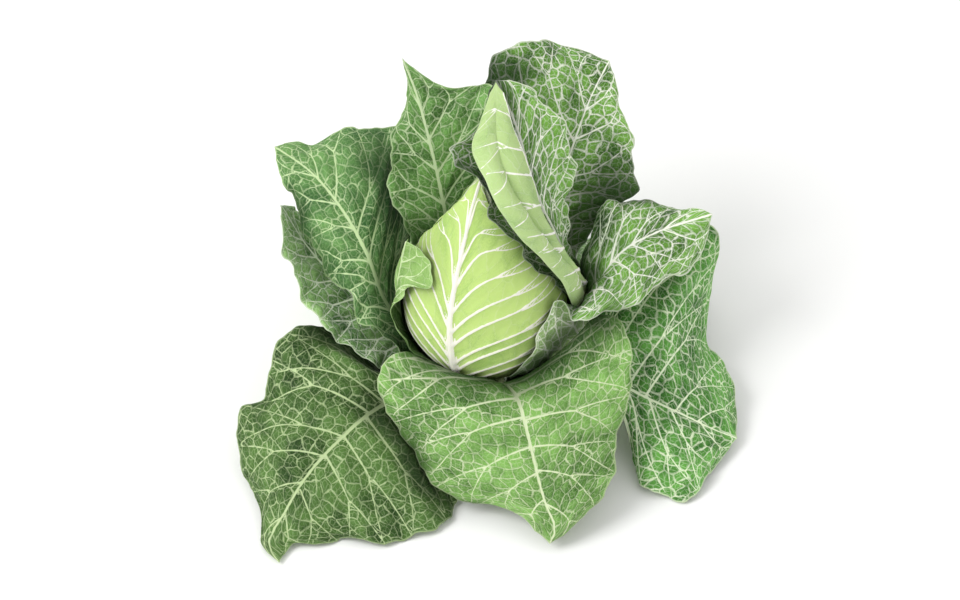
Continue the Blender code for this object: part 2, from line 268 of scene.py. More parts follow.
@dataclass(frozen=True)
class LeafFinish:
    """Colours and pattern of one kind of leaf.

    Attributes:
        name: Name of the material.
        slot: Material slot of the record; not used.
        light: Colour of a cell at its brightest.
        deep: Colour of a cell at its darkest.
        vein: Colour of the veins and of the network.
        under: Colour of the lower face between its veins.
        cell: Size of the network's cells.
        line: Half-width of the network's lines.
        net: Strength of the network, from 0 to 1.
        pucker: Height that a cell swells by.
        hollow_shade: How dark the painted shade makes the leaf where another leaf nearly touches it, from 0
            to 1.
    """

    name: str
    slot: Slot
    light: Colour
    deep: Colour
    vein: Colour
    under: Colour
    cell: float = 8.5
    line: float = 0.42
    net: float = 0.8
    pucker: float = 0.9
    hollow_shade: float = 0.9


MEADOW = LeafFinish("meadow_green", Slot.GREEN, light=(0.22, 0.43, 0.105), deep=(0.025, 0.08, 0.012),
                    vein=(0.60, 0.68, 0.43), under=(0.34, 0.50, 0.20))
# painted shade: a darker copy of the leaf green for the front-left leaf, which lies in shade
SHADOWED = LeafFinish("shadowed_green", Slot.GREEN, light=(0.097, 0.192, 0.047), deep=(0.011, 0.033, 0.006),
                  vein=(0.46, 0.57, 0.30), under=(0.28, 0.42, 0.16))
FRESH = LeafFinish("fresh_green", Slot.GREEN, light=(0.17, 0.36, 0.09), deep=(0.024, 0.07, 0.015),
                   vein=(0.51, 0.62, 0.37), under=(0.30, 0.46, 0.17))
CRISP = LeafFinish("crisp_green", Slot.GREEN, light=(0.22, 0.47, 0.08), deep=(0.017, 0.062, 0.010),
                   vein=(0.88, 0.90, 0.78), under=(0.36, 0.54, 0.21), line=0.55, net=0.92)
COLLAR = LeafFinish("collar_green", Slot.GREEN, light=(0.20, 0.37, 0.09), deep=(0.03, 0.09, 0.02),
                    vein=(0.56, 0.68, 0.38), under=(0.26, 0.43, 0.125), cell=11.0, net=0.5, pucker=0.6)
SHADED = LeafFinish("shaded_green", Slot.DARK, light=(0.33, 0.56, 0.19), deep=(0.035, 0.10, 0.03),
                    vein=(0.86, 0.92, 0.74), under=(0.27, 0.42, 0.17), hollow_shade=0.5)
BLUE = LeafFinish("blue_green", Slot.DARK, light=(0.145, 0.30, 0.09), deep=(0.025, 0.085, 0.024),
                  vein=(0.54, 0.68, 0.37), under=(0.27, 0.43, 0.18))
FROST = LeafFinish("frost_green", Slot.DARK, light=(0.14, 0.385, 0.072), deep=(0.014, 0.08, 0.012),
                   vein=(0.76, 0.85, 0.60), under=(0.30, 0.47, 0.21), line=0.55, net=0.92)
HEART = LeafFinish("heart_pale", Slot.HEART, light=(0.43, 0.60, 0.16), deep=(0.16, 0.33, 0.055),
                   vein=(0.81, 0.79, 0.70), under=(0.46, 0.62, 0.19), cell=13.0, net=0.12, pucker=0.3,
                    hollow_shade=0.2)
BUD = LeafFinish("bud_pale", Slot.HEART, light=(0.40, 0.57, 0.21), deep=(0.17, 0.32, 0.09),
                 vein=(0.86, 0.85, 0.78), under=(0.43, 0.58, 0.24), cell=12.0, net=0.15, pucker=0.3,
                  hollow_shade=0.15)
HEART_VEINS = VeinPlan((0.0, 0.065, 0.135, 0.21, 0.29, 0.375, 0.465, 0.56, 0.66, 0.77, 0.87), rib=3.7,
                       side=0.38, fork=0.5, spread=0.03, climb=0.20, bend=0.2, droop=0.13, height=1.2)
BUD_VEINS = VeinPlan((0.28, 0.36, 0.44, 0.52, 0.60, 0.68, 0.76, 0.84, 0.91), rib=2.3, side=0.8, fork=0.42,
                     spread=0.035, climb=-0.03, bend=0.5, height=1.0, from_edge=True)


@dataclass(frozen=True)
class Leaf:
    """What all leaves have in common. Lengths are in millimetres.

    Attributes:
        node: CAD node that the leaf stands for.
        layer: How many leaves may lie between it and the heart.
        finish: Its colours and pattern.
        veins: Its thick veins.
        outward: Whether its upper face looks away from the heart.
        shade: Strength of the painted shade at its foot, and how far along the leaf it reaches.
        ruffle: Height of the margin's waves and how many there are along it.
        lobes: Depth of the outline's lobes and how many there are along it.
        cover: Distance at which another leaf above it starts to paint shade on it.
        phase: Where its waves start, so that no two leaves are alike.
        rows: Points along the midrib of the finished leaf.
        half: Points from the midrib to a margin.
    """

    node: str
    layer: float
    finish: LeafFinish
    veins: VeinPlan = VeinPlan()
    outward: bool = False
    shade: Pair = (0.4, 0.5)
    ruffle: Pair = (2.2, 5)
    lobes: Pair = (1.8, 6)
    cover: float = 32.0
    phase: float = 0.0
    rows: int = 150
    half: int = 75

    def surface(self, u: np.ndarray, v: np.ndarray, detail: bool) -> np.ndarray:
        """Middle surface of the leaf.

        Args:
            u: Shares of the way from foot to tip.
            v: Places from -1, the left margin, to 1, the right margin.
            detail: Whether to add lobes and ruffles.

        Returns:
            Points as an array of len(u) by len(v) by 3.
        """
        raise NotImplementedError

    def folds(self, u: np.ndarray, v: np.ndarray) -> np.ndarray:
        """Height of the folds at its foot, as a share of their greatest."""
        return 0 * u[:, None] * v

    def waves(self, u: np.ndarray, v: np.ndarray) -> tuple[np.ndarray, np.ndarray]:
        """Waves of the margin over the leaf.

        Returns:
            How far each point is moved outwards in the leaf's own surface, and how far off it.
        """
        side = np.sign(v)[None, :]
        ease_in = smooth(0.02, 0.2, u)[:, None] * (1 - smooth(0.9, 1.0, u))[:, None]
        lobe_at = 2 * math.pi * self.lobes[1] * u[:, None] + self.phase + 1.7 * side
        lobe = np.sin(lobe_at) + 0.5 * np.sin(2.3 * lobe_at + 1.0) + 0.16 * np.sin(5.3 * lobe_at + 2.0)
        ruffle_at = 2 * math.pi * self.ruffle[1] * u[:, None] + 2.1 * self.phase + 0.9 * side
        ruffle = np.sin(ruffle_at) + 0.45 * np.sin(2.2 * ruffle_at + 0.6)
        reach = np.abs(v)[None, :]
        return self.lobes[0] * lobe * reach**3 * ease_in, self.ruffle[0] * ruffle * reach**3 * ease_in


@dataclass(frozen=True)
class OpenLeaf(Leaf):
    """A leaf given by its midrib and its two margins, each a line of points from the foot to the tip.

    Attributes:
        rib: Points on the midrib.
        right: Points on the margin to the right as seen on the upper face with the tip pointing away.
        left: Points on the other margin.
        belly: How far each side swells towards the upper face, as (right, left) at STATIONS.
        sweep: How far the side veins bow back towards the foot, as a share of their length.
        pleats: Height, number and side of the folds that fan out from the foot.
    """

    rib: tuple[Point, ...] = ()
    right: tuple[Point, ...] = ()
    left: tuple[Point, ...] = ()
    belly: tuple[Pair, ...] = ((0, 0),) * 4
    sweep: float = 0.12
    pleats: Point = (0, 0, 1)

    def folds(self, u: np.ndarray, v: np.ndarray) -> np.ndarray:
        """See Leaf.folds."""
        _, count, side = self.pleats
        fold = np.abs(np.sin(math.pi * count * (u[:, None] ** 0.8 + 0.05 * np.abs(v))))
        near = smooth(0.0, 0.12, u)[:, None] * (1 - smooth(0.55, 0.85, u))[:, None]
        return fold * near * np.maximum(side * v, 0) ** 0.5

    def surface(self, u: np.ndarray, v: np.ndarray, detail: bool) -> np.ndarray:
        """See Leaf.surface."""
        rib = through(along(self.rib), self.rib, u)
        margins = {1: self.right, -1: self.left}
        edge = {side: through(along(line), line, u * MARGIN_REACH) for side, line in margins.items()}
        tangent = unit(np.gradient(rib, u, axis=0))
        across = edge[1] - edge[-1]
        across = unit(across - (across * tangent).sum(1, keepdims=True) * tangent)
        normal = np.cross(across, tangent)
        parts = []
        outwards, off = self.waves(u, v) if detail else (None, None)
        for side, column, chosen in ((-1, 1, v < 0), (1, 0, v >= 0)):
            w = np.abs(v[chosen])[None, :, None]
            swell = through(STATIONS, [pair[column] for pair in self.belly], u)[:, None]
            reach = edge[side] - rib
            width = np.linalg.norm(reach, axis=1, keepdims=True)
            middle = (rib + edge[side]) / 2 + 2 * swell * normal - self.sweep * width * tangent
            part = (1 - w) ** 2 * rib[:, None] + 2 * w * (1 - w) * middle[:, None]
            part = part + w**2 * edge[side][:, None]
            if detail:
                fold = self.pleats[0] * self.folds(u, v)[:, chosen, None] * 4 * w * (1 - w)
                part = part + outwards[:, chosen, None] * unit(reach)[:, None]
                part = part + (off[:, chosen, None] + fold) * normal[:, None]
            parts.append(part)
        return np.concatenate(parts, axis=1)


@dataclass(frozen=True)
class HeadLeaf(Leaf):
    """A leaf that wraps the heart, given on the heart's own surface.

    Attributes:
        azimuth: Where its midrib lies, in degrees from +X, at the foot and at the tip.
        right: Angles that its right side reaches round the heart at STATIONS, seen from inside the heart.
        left: The same for its left side.
        span: Shares of the heart's height where the midrib starts and ends.
        stand: Distance off the heart's surface, as (midrib, margin) at STATIONS.
        rise: How far its side veins climb, as a share of the heart's height.
    """

    azimuth: Pair = (0, 0)
    right: tuple[float, ...] = ()
    left: tuple[float, ...] = ()
    span: Pair = (0, 1)
    stand: tuple[Pair, ...] = ()
    rise: float = 0.1

    def surface(self, u: np.ndarray, v: np.ndarray, detail: bool) -> np.ndarray:
        """See Leaf.surface."""
        head = HEAD
        parts = []
        outwards, off = self.waves(u, v) if detail else (0 * u[:, None] * v, 0 * u[:, None] * v)
        middle = self.azimuth[0] + (self.azimuth[1] - self.azimuth[0]) * u[:, None]
        rib, margin = (through(STATIONS, [pair[k] for pair in self.stand], u)[:, None] for k in (0, 1))
        for side, spans, chosen in ((1, self.left, v < 0), (-1, self.right, v >= 0)):
            w = np.abs(v[chosen])[None, :]
            span = through(STATIONS, spans, u)[:, None] + outwards[:, chosen]
            azimuth = np.radians(middle + side * span * w)
            share = self.span[0] + (self.span[1] - self.span[0]) * u[:, None]
            share = share + self.rise * (1 - u[:, None]) ** 0.7 * w**1.3
            radius = head.radius_at(np.clip(share, 0, 1)) + rib + (margin - rib) * w**1.6 + off[:, chosen]
            z = head.foot + head.height * share
            parts.append(np.stack([radius * np.cos(azimuth), radius * np.sin(azimuth), z], axis=-1))
        return np.concatenate(parts, axis=1)


def spread(count: int) -> np.ndarray:
    """Evenly spaced shares from 0 to 1."""
    return np.linspace(0, 1, count)


def sheet_normals(grid: np.ndarray) -> np.ndarray:
    """Unit normals of a grid of points, on the side that the leaf's upper face looks to."""
    return unit(np.cross(np.gradient(grid, axis=1), np.gradient(grid, axis=0)))


def resample(cage: np.ndarray, u: np.ndarray, v: np.ndarray) -> np.ndarray:
    """Reads a field that is known on the cage at finer places.

    Args:
        cage: Values at CAGE_ROWS by 2 * CAGE_HALF + 1 places, and any further axes.
        u: Rows to read, from 0 to 1.
        v: Columns to read, from -1 to 1.

    Returns:
        The field at len(u) by len(v) places.
    """
    rows = through(spread(cage.shape[0]), cage, u)
    columns = np.linspace(-1, 1, cage.shape[1])
    return np.swapaxes(through(columns, np.swapaxes(rows, 0, 1), v), 0, 1)


def soften(field_: np.ndarray, passes: int) -> np.ndarray:
    """Softens a field of pushes over a grid."""
    for _ in range(passes):
        padded = np.pad(field_, ((1, 1), (1, 1), (0, 0)), mode="edge")
        near = padded[:-2, 1:-1] + padded[2:, 1:-1] + padded[1:-1, :-2] + padded[1:-1, 2:]
        field_ = 0.5 * field_ + 0.125 * near
    return field_


def grid_quads(rows: int, columns: int, start: int = 0) -> np.ndarray:
    """Faces of a grid of points, each as four point numbers."""
    i, j = np.meshgrid(np.arange(rows - 1), np.arange(columns - 1), indexing="ij")
    a = start + i * columns + j
    return np.stack([a, a + 1, a + columns + 1, a + columns], axis=-1).reshape(-1, 4)


class Placed:
    """A surface that is already in place, which later leaves keep to the lower side of."""

    def __init__(self, grid: np.ndarray, upper: np.ndarray) -> None:
        rows, columns = grid.shape[:2]
        quads = grid_quads(rows, columns)
        triangles = quads[:, [0, 1, 2, 0, 2, 3]].reshape(-1, 3)
        self.tree = BVHTree.FromPolygons([Vector(p) for p in grid.reshape(-1, 3)], triangles.tolist())
        self.upper = upper
        self.width = columns - 1

    def push(self, point: np.ndarray, spacing: float, reach: float) -> np.ndarray | None:
        """Vector that moves a point clear of this surface.

        Returns:
            The vector, or None where the point is clear.
        """
        found, _, index, distance = self.tree.find_nearest(Vector(point), reach)
        if found is None:
            return None
        i, j = divmod(index // 2, self.width)
        normal = self.upper[i : i + 2, j : j + 2].reshape(-1, 3).mean(axis=0)
        lower = -normal / max(np.linalg.norm(normal), 1e-9)
        gap = point - np.array(found)
        depth = float(gap @ lower)
        aside = float(np.linalg.norm(gap - depth * lower))
        if aside > 0.6 * spacing or depth >= spacing:
            if distance >= spacing or distance < 1e-6:
                return None
            return gap / distance * (spacing - distance)
        return lower * (spacing - depth)


def outside(grid: np.ndarray, margin: float) -> np.ndarray:
    """The grid, moved out from the axis until it stands a margin off the heart and the stem."""
    head, stem = HEAD, STEM
    share = (grid[..., 2] - head.foot) / head.height
    least = np.where(share < 0, stem.foot_radius + 2.5, head.radius_at(np.clip(share, 0, 1)) + margin)
    least = np.where(share > 1, 0, least)
    radius = np.maximum(np.linalg.norm(grid[..., :2], axis=-1), 1e-6)
    grow = np.maximum(least / radius, 1)
    return np.concatenate([grid[..., :2] * grow[..., None], grid[..., 2:]], axis=-1)


def eased(grid: np.ndarray, placed: list[Placed], spacing: float, margin: float) -> np.ndarray:
    """The grid, moved clear of the surfaces in place and of the ground."""
    grid = outside(grid, margin)
    for step in range(EASING.steps):
        move = np.zeros_like(grid)
        for i, j in np.ndindex(grid.shape[:2]):
            pushes = [other.push(grid[i, j], spacing, EASING.reach) for other in placed]
            pushes = [p for p in pushes if p is not None]
            if pushes:
                move[i, j] = max(pushes, key=lambda p: float(p @ p))
        grid = outside(grid + (soften(move, 2) * 1.3 if step < EASING.steps - 4 else move), margin)
        grid[..., 2] = np.maximum(grid[..., 2], EASING.floor)
    return grid


def spans(grid: np.ndarray) -> tuple[np.ndarray, np.ndarray]:
    """Lengths measured over a leaf's surface.

    Args:
        grid: The leaf's points.

    Returns:
        Signed distance from the midrib along each row, and distance from the foot along each column.
    """
    across = np.cumsum(np.linalg.norm(np.diff(grid, axis=1, prepend=grid[:, :1]), axis=-1), axis=1)
    up = np.cumsum(np.linalg.norm(np.diff(grid, axis=0, prepend=grid[:1]), axis=-1), axis=0)
    return across - across[:, [grid.shape[1] // 2]], up


def vein_lines(plan: VeinPlan, phase: float) -> list[tuple[np.ndarray, np.ndarray, np.ndarray]]:
    """Thick veins of a leaf.

    Returns:
        For each vein, the shares along the leaf, the places across it, and the vein's half-widths there.
    """
    t = spread(24)
    first, reach, sides = (-0.97, 1.9, (1,)) if plan.from_edge else (0.0, 1.0, (-1, 1))
    lines = [(t, first + 0 * t, plan.rib * (1 - 0.78 * t**0.8))]
    for side in sides:
        for number, start in enumerate(plan.starts):
            start = start + 0.012 * math.sin(3.7 * number + phase + side)
            size = plan.side * plan.rib * (1 - 0.7 * start)
            fork = plan.fork + 0.12 * math.sin(2.9 * number + phase)
            trunk = t * fork
            lines.append((plan.path(start, trunk), first + side * reach * trunk, size * (1 - 0.4 * t)))
            for arm, length in ((-1, 0.99), (1, 0.95)):
                w = fork + (length - fork) * t
                bow = plan.spread * arm * t**0.8 * (1 - 0.4 * start)
                thin = 0.6 * size * (1 - 0.6 * t)
                lines.append((plan.path(start, w) + bow, first + side * reach * w, thin))
    return lines


def looked_up(grid: np.ndarray, row: np.ndarray, column: np.ndarray) -> np.ndarray:
    """Reads a grid of points between its rows and columns."""
    rows, columns = grid.shape[:2]
    i, j = np.clip(row.astype(int), 0, rows - 2), np.clip(column.astype(int), 0, columns - 2)
    s, t = (row - i)[:, None], (column - j)[:, None]
    low = grid[i, j] * (1 - t) + grid[i, j + 1] * t
    high = grid[i + 1, j] * (1 - t) + grid[i + 1, j + 1] * t
    return low * (1 - s) + high * s


def vein_fields(
    plan: VeinPlan, phase: float, grid: np.ndarray, normal: np.ndarray
) -> tuple[np.ndarray, np.ndarray, np.ndarray]:
    """Distance to the nearest thick vein over a leaf.

    Args:
        plan: The leaf's thick veins.
        phase: The leaf's own phase.
        grid: The leaf's points.
        normal: Its unit normals there.

    Returns:
        Distance to the middle of the vein, the same with a sign for the side of it, and the half-width of
        that vein, in millimetres.
    """
    points, normals = grid.reshape(-1, 3), normal.reshape(-1, 3)
    rows, columns = grid.shape[:2]
    gap = np.full(len(points), NO_VEIN)
    far, sided, size = gap.copy(), gap.copy(), np.zeros(len(points))
    for along_u, across_v, half_width in vein_lines(plan, phase):
        keep = (along_u >= 0) & (along_u <= 1)
        if keep.sum() < 2:
            continue
        path = looked_up(grid, along_u[keep] * (rows - 1), (across_v[keep] + 1) / 2 * (columns - 1))
        width = half_width[keep]
        low, high = path.min(axis=0) - VEIN_REACH, path.max(axis=0) + VEIN_REACH
        beside = np.flatnonzero((points > low).all(axis=1) & (points < high).all(axis=1))
        for a, b, wa, wb in zip(path[:-1], path[1:], width[:-1], width[1:]):
            line = b - a
            close = np.abs(points[beside] - (a + b) / 2).max(axis=1) < VEIN_REACH + np.abs(line).max()
            near = beside[close]
            if len(near) == 0:
                continue
            off = points[near] - a
            t = np.clip(off @ line / max(line @ line, 1e-9), 0, 1)
            w = wa + (wb - wa) * t
            d = np.linalg.norm(off - t[:, None] * line, axis=1)
            closer = d - w < gap[near]
            chosen = near[closer]
            turn = np.sign((np.cross(line, off[closer]) * normals[chosen]).sum(axis=1))
            gap[chosen], far[chosen], size[chosen] = (d - w)[closer], d[closer], w[closer]
            sided[chosen] = d[closer] * turn
    return tuple(field_.reshape(grid.shape[:2]) for field_ in (far, sided, size))


def closeness(points: np.ndarray, normals: np.ndarray, tree: BVHTree, reach: float) -> np.ndarray:
    """How nearly other leaves cover each point, which sets the painted shade there.

    Args:
        points: Points in millimetres.
        normals: The leaf's normal at each.
        tree: The other leaves.
        reach: Distance at which another leaf stops counting.

    Returns:
        For each point, a share on the side that its normal looks to, and one on the other side.
    """
    found = np.zeros((len(points), 2))
    for k, (point, normal) in enumerate(zip(points, normals)):
        for spot, _, _, distance in tree.find_nearest_range(Vector(point), reach):
            facing = float((np.array(spot) - point) @ normal) / max(distance, 1e-6)
            share = (1 - distance / reach) * min(1.0, 2.0 * abs(facing))
            column = 0 if facing > 0 else 1
            found[k, column] = max(found[k, column], share)
    return found


LEAVES: tuple[Leaf, ...] = (
    HeadLeaf("head_back_leaf", 1, HEART, phase=0.3,
        veins=HEART_VEINS, shade=(0.3, 0.3), ruffle=(0.6, 4), lobes=(0.8, 4),
        azimuth=(80, 88),
        right=(85, 80, 55, 20),
        left=(85, 80, 55, 20),
        span=(0.02, 0.95),
        stand=((2.5, 3), (2.5, 3), (2.5, 3), (3, 3))),
    HeadLeaf("head_front_leaf", 1.6, HEART, phase=1.0,
        veins=HEART_VEINS, shade=(0.0, 0.3), ruffle=(0.6, 4), lobes=(0.8, 4),
        azimuth=(-112, -124),
        right=(60, 85, 60, 25),
        left=(90, 108, 70, 10),
        span=(0.02, 1.0),
        stand=((3, 5), (4, 6), (3.5, 5), (3, 3)),
        rise=0.2),
    OpenLeaf("side_bud_outer_leaf", 2.6, CRISP, phase=1.7, outward=True,
        shade=(0.75, 0.8), ruffle=(1.6, 7), lobes=(2.4, 7),
        rib=((16.5, 2, 35), (46, 2, 52), (64, 4, 84), (64, 6, 114), (52, 4, 155), (40, 6, 184),
             (31, 14, 209), (24, 32, 228), (16, 50, 240), (7, 72, 247)),
        right=((14, 11, 35), (50, 24, 62), (66, 24, 100), (60, 30, 142), (60, 34, 160), (64, 42, 182),
             (61, 54, 206), (48, 64, 226), (30, 72, 240), (9, 75, 248)),
        left=((15, -8, 35), (44, -18, 58), (62, -10, 102), (49, -28, 137), (34, -36, 162), (20, -37, 184),
             (4, -30, 205), (-6, -14, 224), (-20, -2, 230), (-28, 14, 231), (-12, 23, 233), (0, 52, 242),
             (3, 73, 247)),
        belly=((0, 0), (-4, -3), (-4, -3), (0, 0))),
    OpenLeaf("side_bud_inner_leaf", 4.2, BUD, phase=2.4,
        veins=BUD_VEINS, shade=(0.0, 0.3), ruffle=(0.8, 4), lobes=(0.8, 4),
        rib=((17.5, 0, 30), (50, -2, 50), (70, 0, 96), (64, -12, 135), (47, -24, 168), (33, -25, 194),
             (21, -18, 214), (12, -7, 230), (8, 8, 240), (7, 26, 248), (7, 66, 250)),
        right=((15.5, -9, 30), (46, -22, 56), (64, -24, 100), (58, -32, 136), (46, -38, 160),
             (28, -42, 190), (12, -36, 210), (1, -22, 224), (-8, -4, 234), (-10, 9, 240), (-5, 24, 244),
             (5, 66, 249)),
        left=((16, 9, 30), (56, 10, 60), (72, 8, 100), (62, 0, 124), (46, -8, 168), (35, -4, 206),
             (28, 6, 226), (19, 26, 244), (11, 60, 254)),
        belly=((0, 0), (-4, -4), (-6, -6), (0, 0))),
    OpenLeaf("collar_leaf", 3, COLLAR, phase=3.1,
        shade=(0.75, 0.85), ruffle=(1.6, 5), lobes=(1.6, 5),
        rib=((-17, -3, 33), (-42, -6, 50), (-60, -10, 84), (-64, -7, 112), (-61, -3, 138), (-58, -7, 160)),
        right=((-12, 11, 33), (-36, 38, 60), (-56, 34, 100), (-57, 18, 132), (-57, 6, 153)),
        left=((-14, -12, 33), (-27, -46, 62), (-40, -49, 80), (-55, -41, 84), (-65, -30, 92),
             (-68, -22, 106), (-62, -22, 120), (-55, -26, 132), (-42, -36, 142), (-40, -27, 153),
             (-47, -15, 158), (-56, -9, 161)),
        belly=((-4, 0), (-6, -2), (-5, -2), (0, 0))),
    OpenLeaf("right_leaf", 4, CRISP, phase=3.8,
        shade=(0.6, 0.62), pleats=(4, 9, -1),
        rib=((17, 0, 25), (52, -5, 39), (78, -15, 79), (82, -10, 116), (99, 17, 127), (125, 38, 128),
             (168, 54, 133)),
        right=((13, -11, 25), (22, -42, 48), (18, -57, 74), (28, -60, 91), (41, -52, 107), (51, -36, 128),
             (64, -42, 113), (83, -28, 106), (103, -13, 100), (130, 8, 105), (158, 32, 110),
             (168, 52, 131)),
        left=((13, 12, 25), (54, 40, 56), (77, 50, 104), (88, 62, 135), (108, 72, 132), (130, 70, 127),
             (153, 64, 130), (168, 56, 134)),
        belly=((-2, 0), (2, 3), (6, 5), (0, 0))),
    OpenLeaf("front_leaf", 4, MEADOW, phase=4.5,
        shade=(0.35, 0.4), cover=52,
        rib=((3, -17, 23), (6, -36, 42), (9, -55, 65), (20, -70, 68), (30, -100, 56), (36, -124, 43),
             (43, -148, 30), (50, -163, 17), (46, -168, 9)),
        right=((-8, -15, 23), (-20, -43, 46), (-40, -45, 67), (-62, -45, 83), (-76, -50, 74),
             (-79, -63, 58), (-62, -82, 40), (-45, -113, 28), (-23, -129, 17), (10, -137, 17),
             (30, -153, 17), (40, -166, 9)),
        left=((14, -14, 23), (40, -44, 58), (72, -38, 96), (95, -31, 108), (108, -55, 84), (98, -90, 54),
             (91, -127, 36), (84, -143, 30), (67, -155, 20), (54, -165, 12), (48, -168, 9)),
        belly=((0, 0), (4, -4), (6, 4), (0, 0))),
    OpenLeaf("back_left_leaf", 4, FRESH, phase=5.2,
        shade=(0.75, 0.75), cover=45,
        rib=((-8, 15, 27), (-22, 52, 70), (-32, 76, 125), (-42, 92, 172), (-54, 112, 210), (-62, 122, 226)),
        right=((2, 17, 27), (10, 62, 70), (14, 84, 130), (10, 92, 190), (2, 108, 214), (-8, 110, 210),
             (-27, 112, 207), (-43, 115, 213), (-60, 121, 225)),
        left=((-14, 8, 27), (-48, 40, 70), (-54, 46, 114), (-68, 62, 131), (-72, 82, 156), (-68, 98, 176),
             (-60, 110, 193), (-58, 116, 208), (-63, 122, 226)),
        belly=((-3, -3), (-6, -4), (-4, -2), (0, 0))),
    OpenLeaf("left_leaf", 5, BLUE, phase=5.9,
        shade=(0.7, 0.5), cover=40,
        rib=((-16, 3, 24), (-44, 8, 42), (-74, 18, 76), (-88, 32, 112), (-108, 54, 140), (-130, 74, 157),
             (-157, 91, 167)),
        right=((-12, 12, 24), (-48, 44, 60), (-58, 66, 108), (-62, 102, 146), (-64, 119, 160),
             (-86, 116, 165), (-106, 112, 165), (-123, 106, 160), (-147, 98, 165), (-157, 92, 167)),
        left=((-14, -8, 24), (-54, -20, 50), (-80, -8, 72), (-98, 5, 78), (-101, 15, 86), (-113, 25, 93),
             (-126, 38, 107), (-136, 50, 126), (-142, 60, 138), (-150, 69, 151), (-158, 88, 166)),
        belly=((-2, -2), (-3, -3), (4, 4), (0, 0))),
    # cover=100 lets the painted shade reach far enough to paint the shadow of side_bud_outer_leaf onto this
    # leaf
    OpenLeaf("back_right_leaf", 6, CRISP, phase=6.6,
        shade=(0.5, 0.5), cover=100,
        rib=((10, 14, 21), (32, 50, 60), (48, 76, 116), (64, 98, 160), (79, 125, 190), (92, 149, 202)),
        right=((15, 8, 21), (62, 50, 70), (84, 66, 118), (112, 78, 140), (111, 86, 146), (109, 102, 160),
             (99, 126, 186), (94, 145, 202)),
        left=((2, 17, 21), (14, 66, 70), (14, 92, 140), (-2, 112, 206), (6, 127, 220), (29, 143, 227),
             (45, 148, 221), (64, 150, 214), (88, 150, 204)),
        belly=((-3, -4), (-5, -6), (4, 4), (0, 0))),
    OpenLeaf("far_left_leaf", 6, SHADED, phase=7.3,
        shade=(0.45, 0.6),
        rib=((-17, 0, 16), (-56, 16, 38), (-102, 42, 66), (-132, 52, 100), (-152, 56, 140)),
        right=((-13, 9, 16), (-56, 58, 44), (-104, 86, 78), (-136, 82, 110), (-153, 60, 138)),
        left=((-15, -9, 16), (-66, -26, 40), (-102, -14, 62), (-117, -8, 71), (-130, 2, 83),
             (-138, 12, 95), (-146, 22, 110), (-150, 36, 126), (-153, 53, 140)),
        belly=((0, 0), (-2, -2), (0, 0), (0, 0))),
    OpenLeaf("front_left_leaf", 7, SHADOWED, phase=8.0,
        shade=(0.8, 0.45),
        rib=((-14, -10, 16), (-47, -36, 36), (-78, -60, 44), (-107, -93, 42), (-132, -125, 33),
             (-146, -148, 22), (-158, -167, 6), (-150, -182, 4)),
        right=((-17, -1, 16), (-71, -14, 36), (-105, -2, 62), (-134, 1, 73), (-149, -13, 70),
             (-161, -31, 56), (-165, -48, 42), (-180, -55, 36), (-184, -71, 27), (-179, -94, 14),
             (-169, -118, 8), (-163, -140, 6), (-163, -164, 5), (-152, -182, 4)),
        left=((-6, -16, 16), (-30, -67, 22), (-25, -108, 8), (-21, -123, 5), (-41, -149, 4),
             (-59, -158, 4), (-79, -162, 4), (-103, -157, 4), (-124, -163, 4), (-140, -164, 4),
             (-146, -173, 4), (-149, -181, 4)),
        belly=((0, 0), (4, 4), (6, 5), (0, 0))),
    OpenLeaf("far_right_leaf", 7, FROST, phase=8.7,
        shade=(0.5, 0.5),
        rib=((17, -5, 14), (58, -20, 34), (96, -32, 42), (116, -40, 36), (146, -50, 26), (170, -56, 16),
             (186, -57, 9)),
        right=((12, -13, 14), (62, -44, 24), (84, -48, 26), (104, -58, 26), (109, -78, 12), (117, -106, 4),
             (149, -115, 4), (168, -86, 7), (184, -60, 8)),
        left=((17, 6, 14), (72, 44, 48), (118, 72, 84), (160, 78, 100), (173, 68, 102), (168, 48, 66),
             (167, 24, 34), (178, 8, 22), (184, -10, 18), (187, -54, 10)),
        belly=((0, 0), (3, 3), (4, 4), (0, 0))),
    OpenLeaf("low_back_leaf", 8, FRESH, phase=9.4,
        rib=((0, 18, 15), (-6, 62, 44), (-10, 110, 62), (-14, 160, 54), (-16, 196, 24)),
        right=((9, 15, 15), (44, 60, 42), (60, 104, 54), (48, 160, 38), (10, 188, 20), (-10, 196, 22)),
        left=((-9, 15, 15), (-48, 52, 40), (-74, 92, 54), (-78, 142, 36), (-52, 176, 18), (-22, 196, 22)),
        belly=((0, 0), (4, 4), (6, 6), (0, 0))),
    OpenLeaf("low_right_leaf", 8, SHADED, phase=10.1,
        rib=((14, 11, 9), (54, 42, 30), (94, 76, 52), (128, 104, 44), (152, 126, 16)),
        right=((17, 4, 9), (76, 20, 26), (130, 40, 40), (160, 74, 26), (162, 108, 10), (155, 124, 14)),
        left=((8, 16, 9), (36, 70, 30), (62, 116, 42), (92, 142, 28), (126, 146, 10), (148, 130, 14)),
        belly=((0, 0), (4, 4), (6, 6), (0, 0))),
)


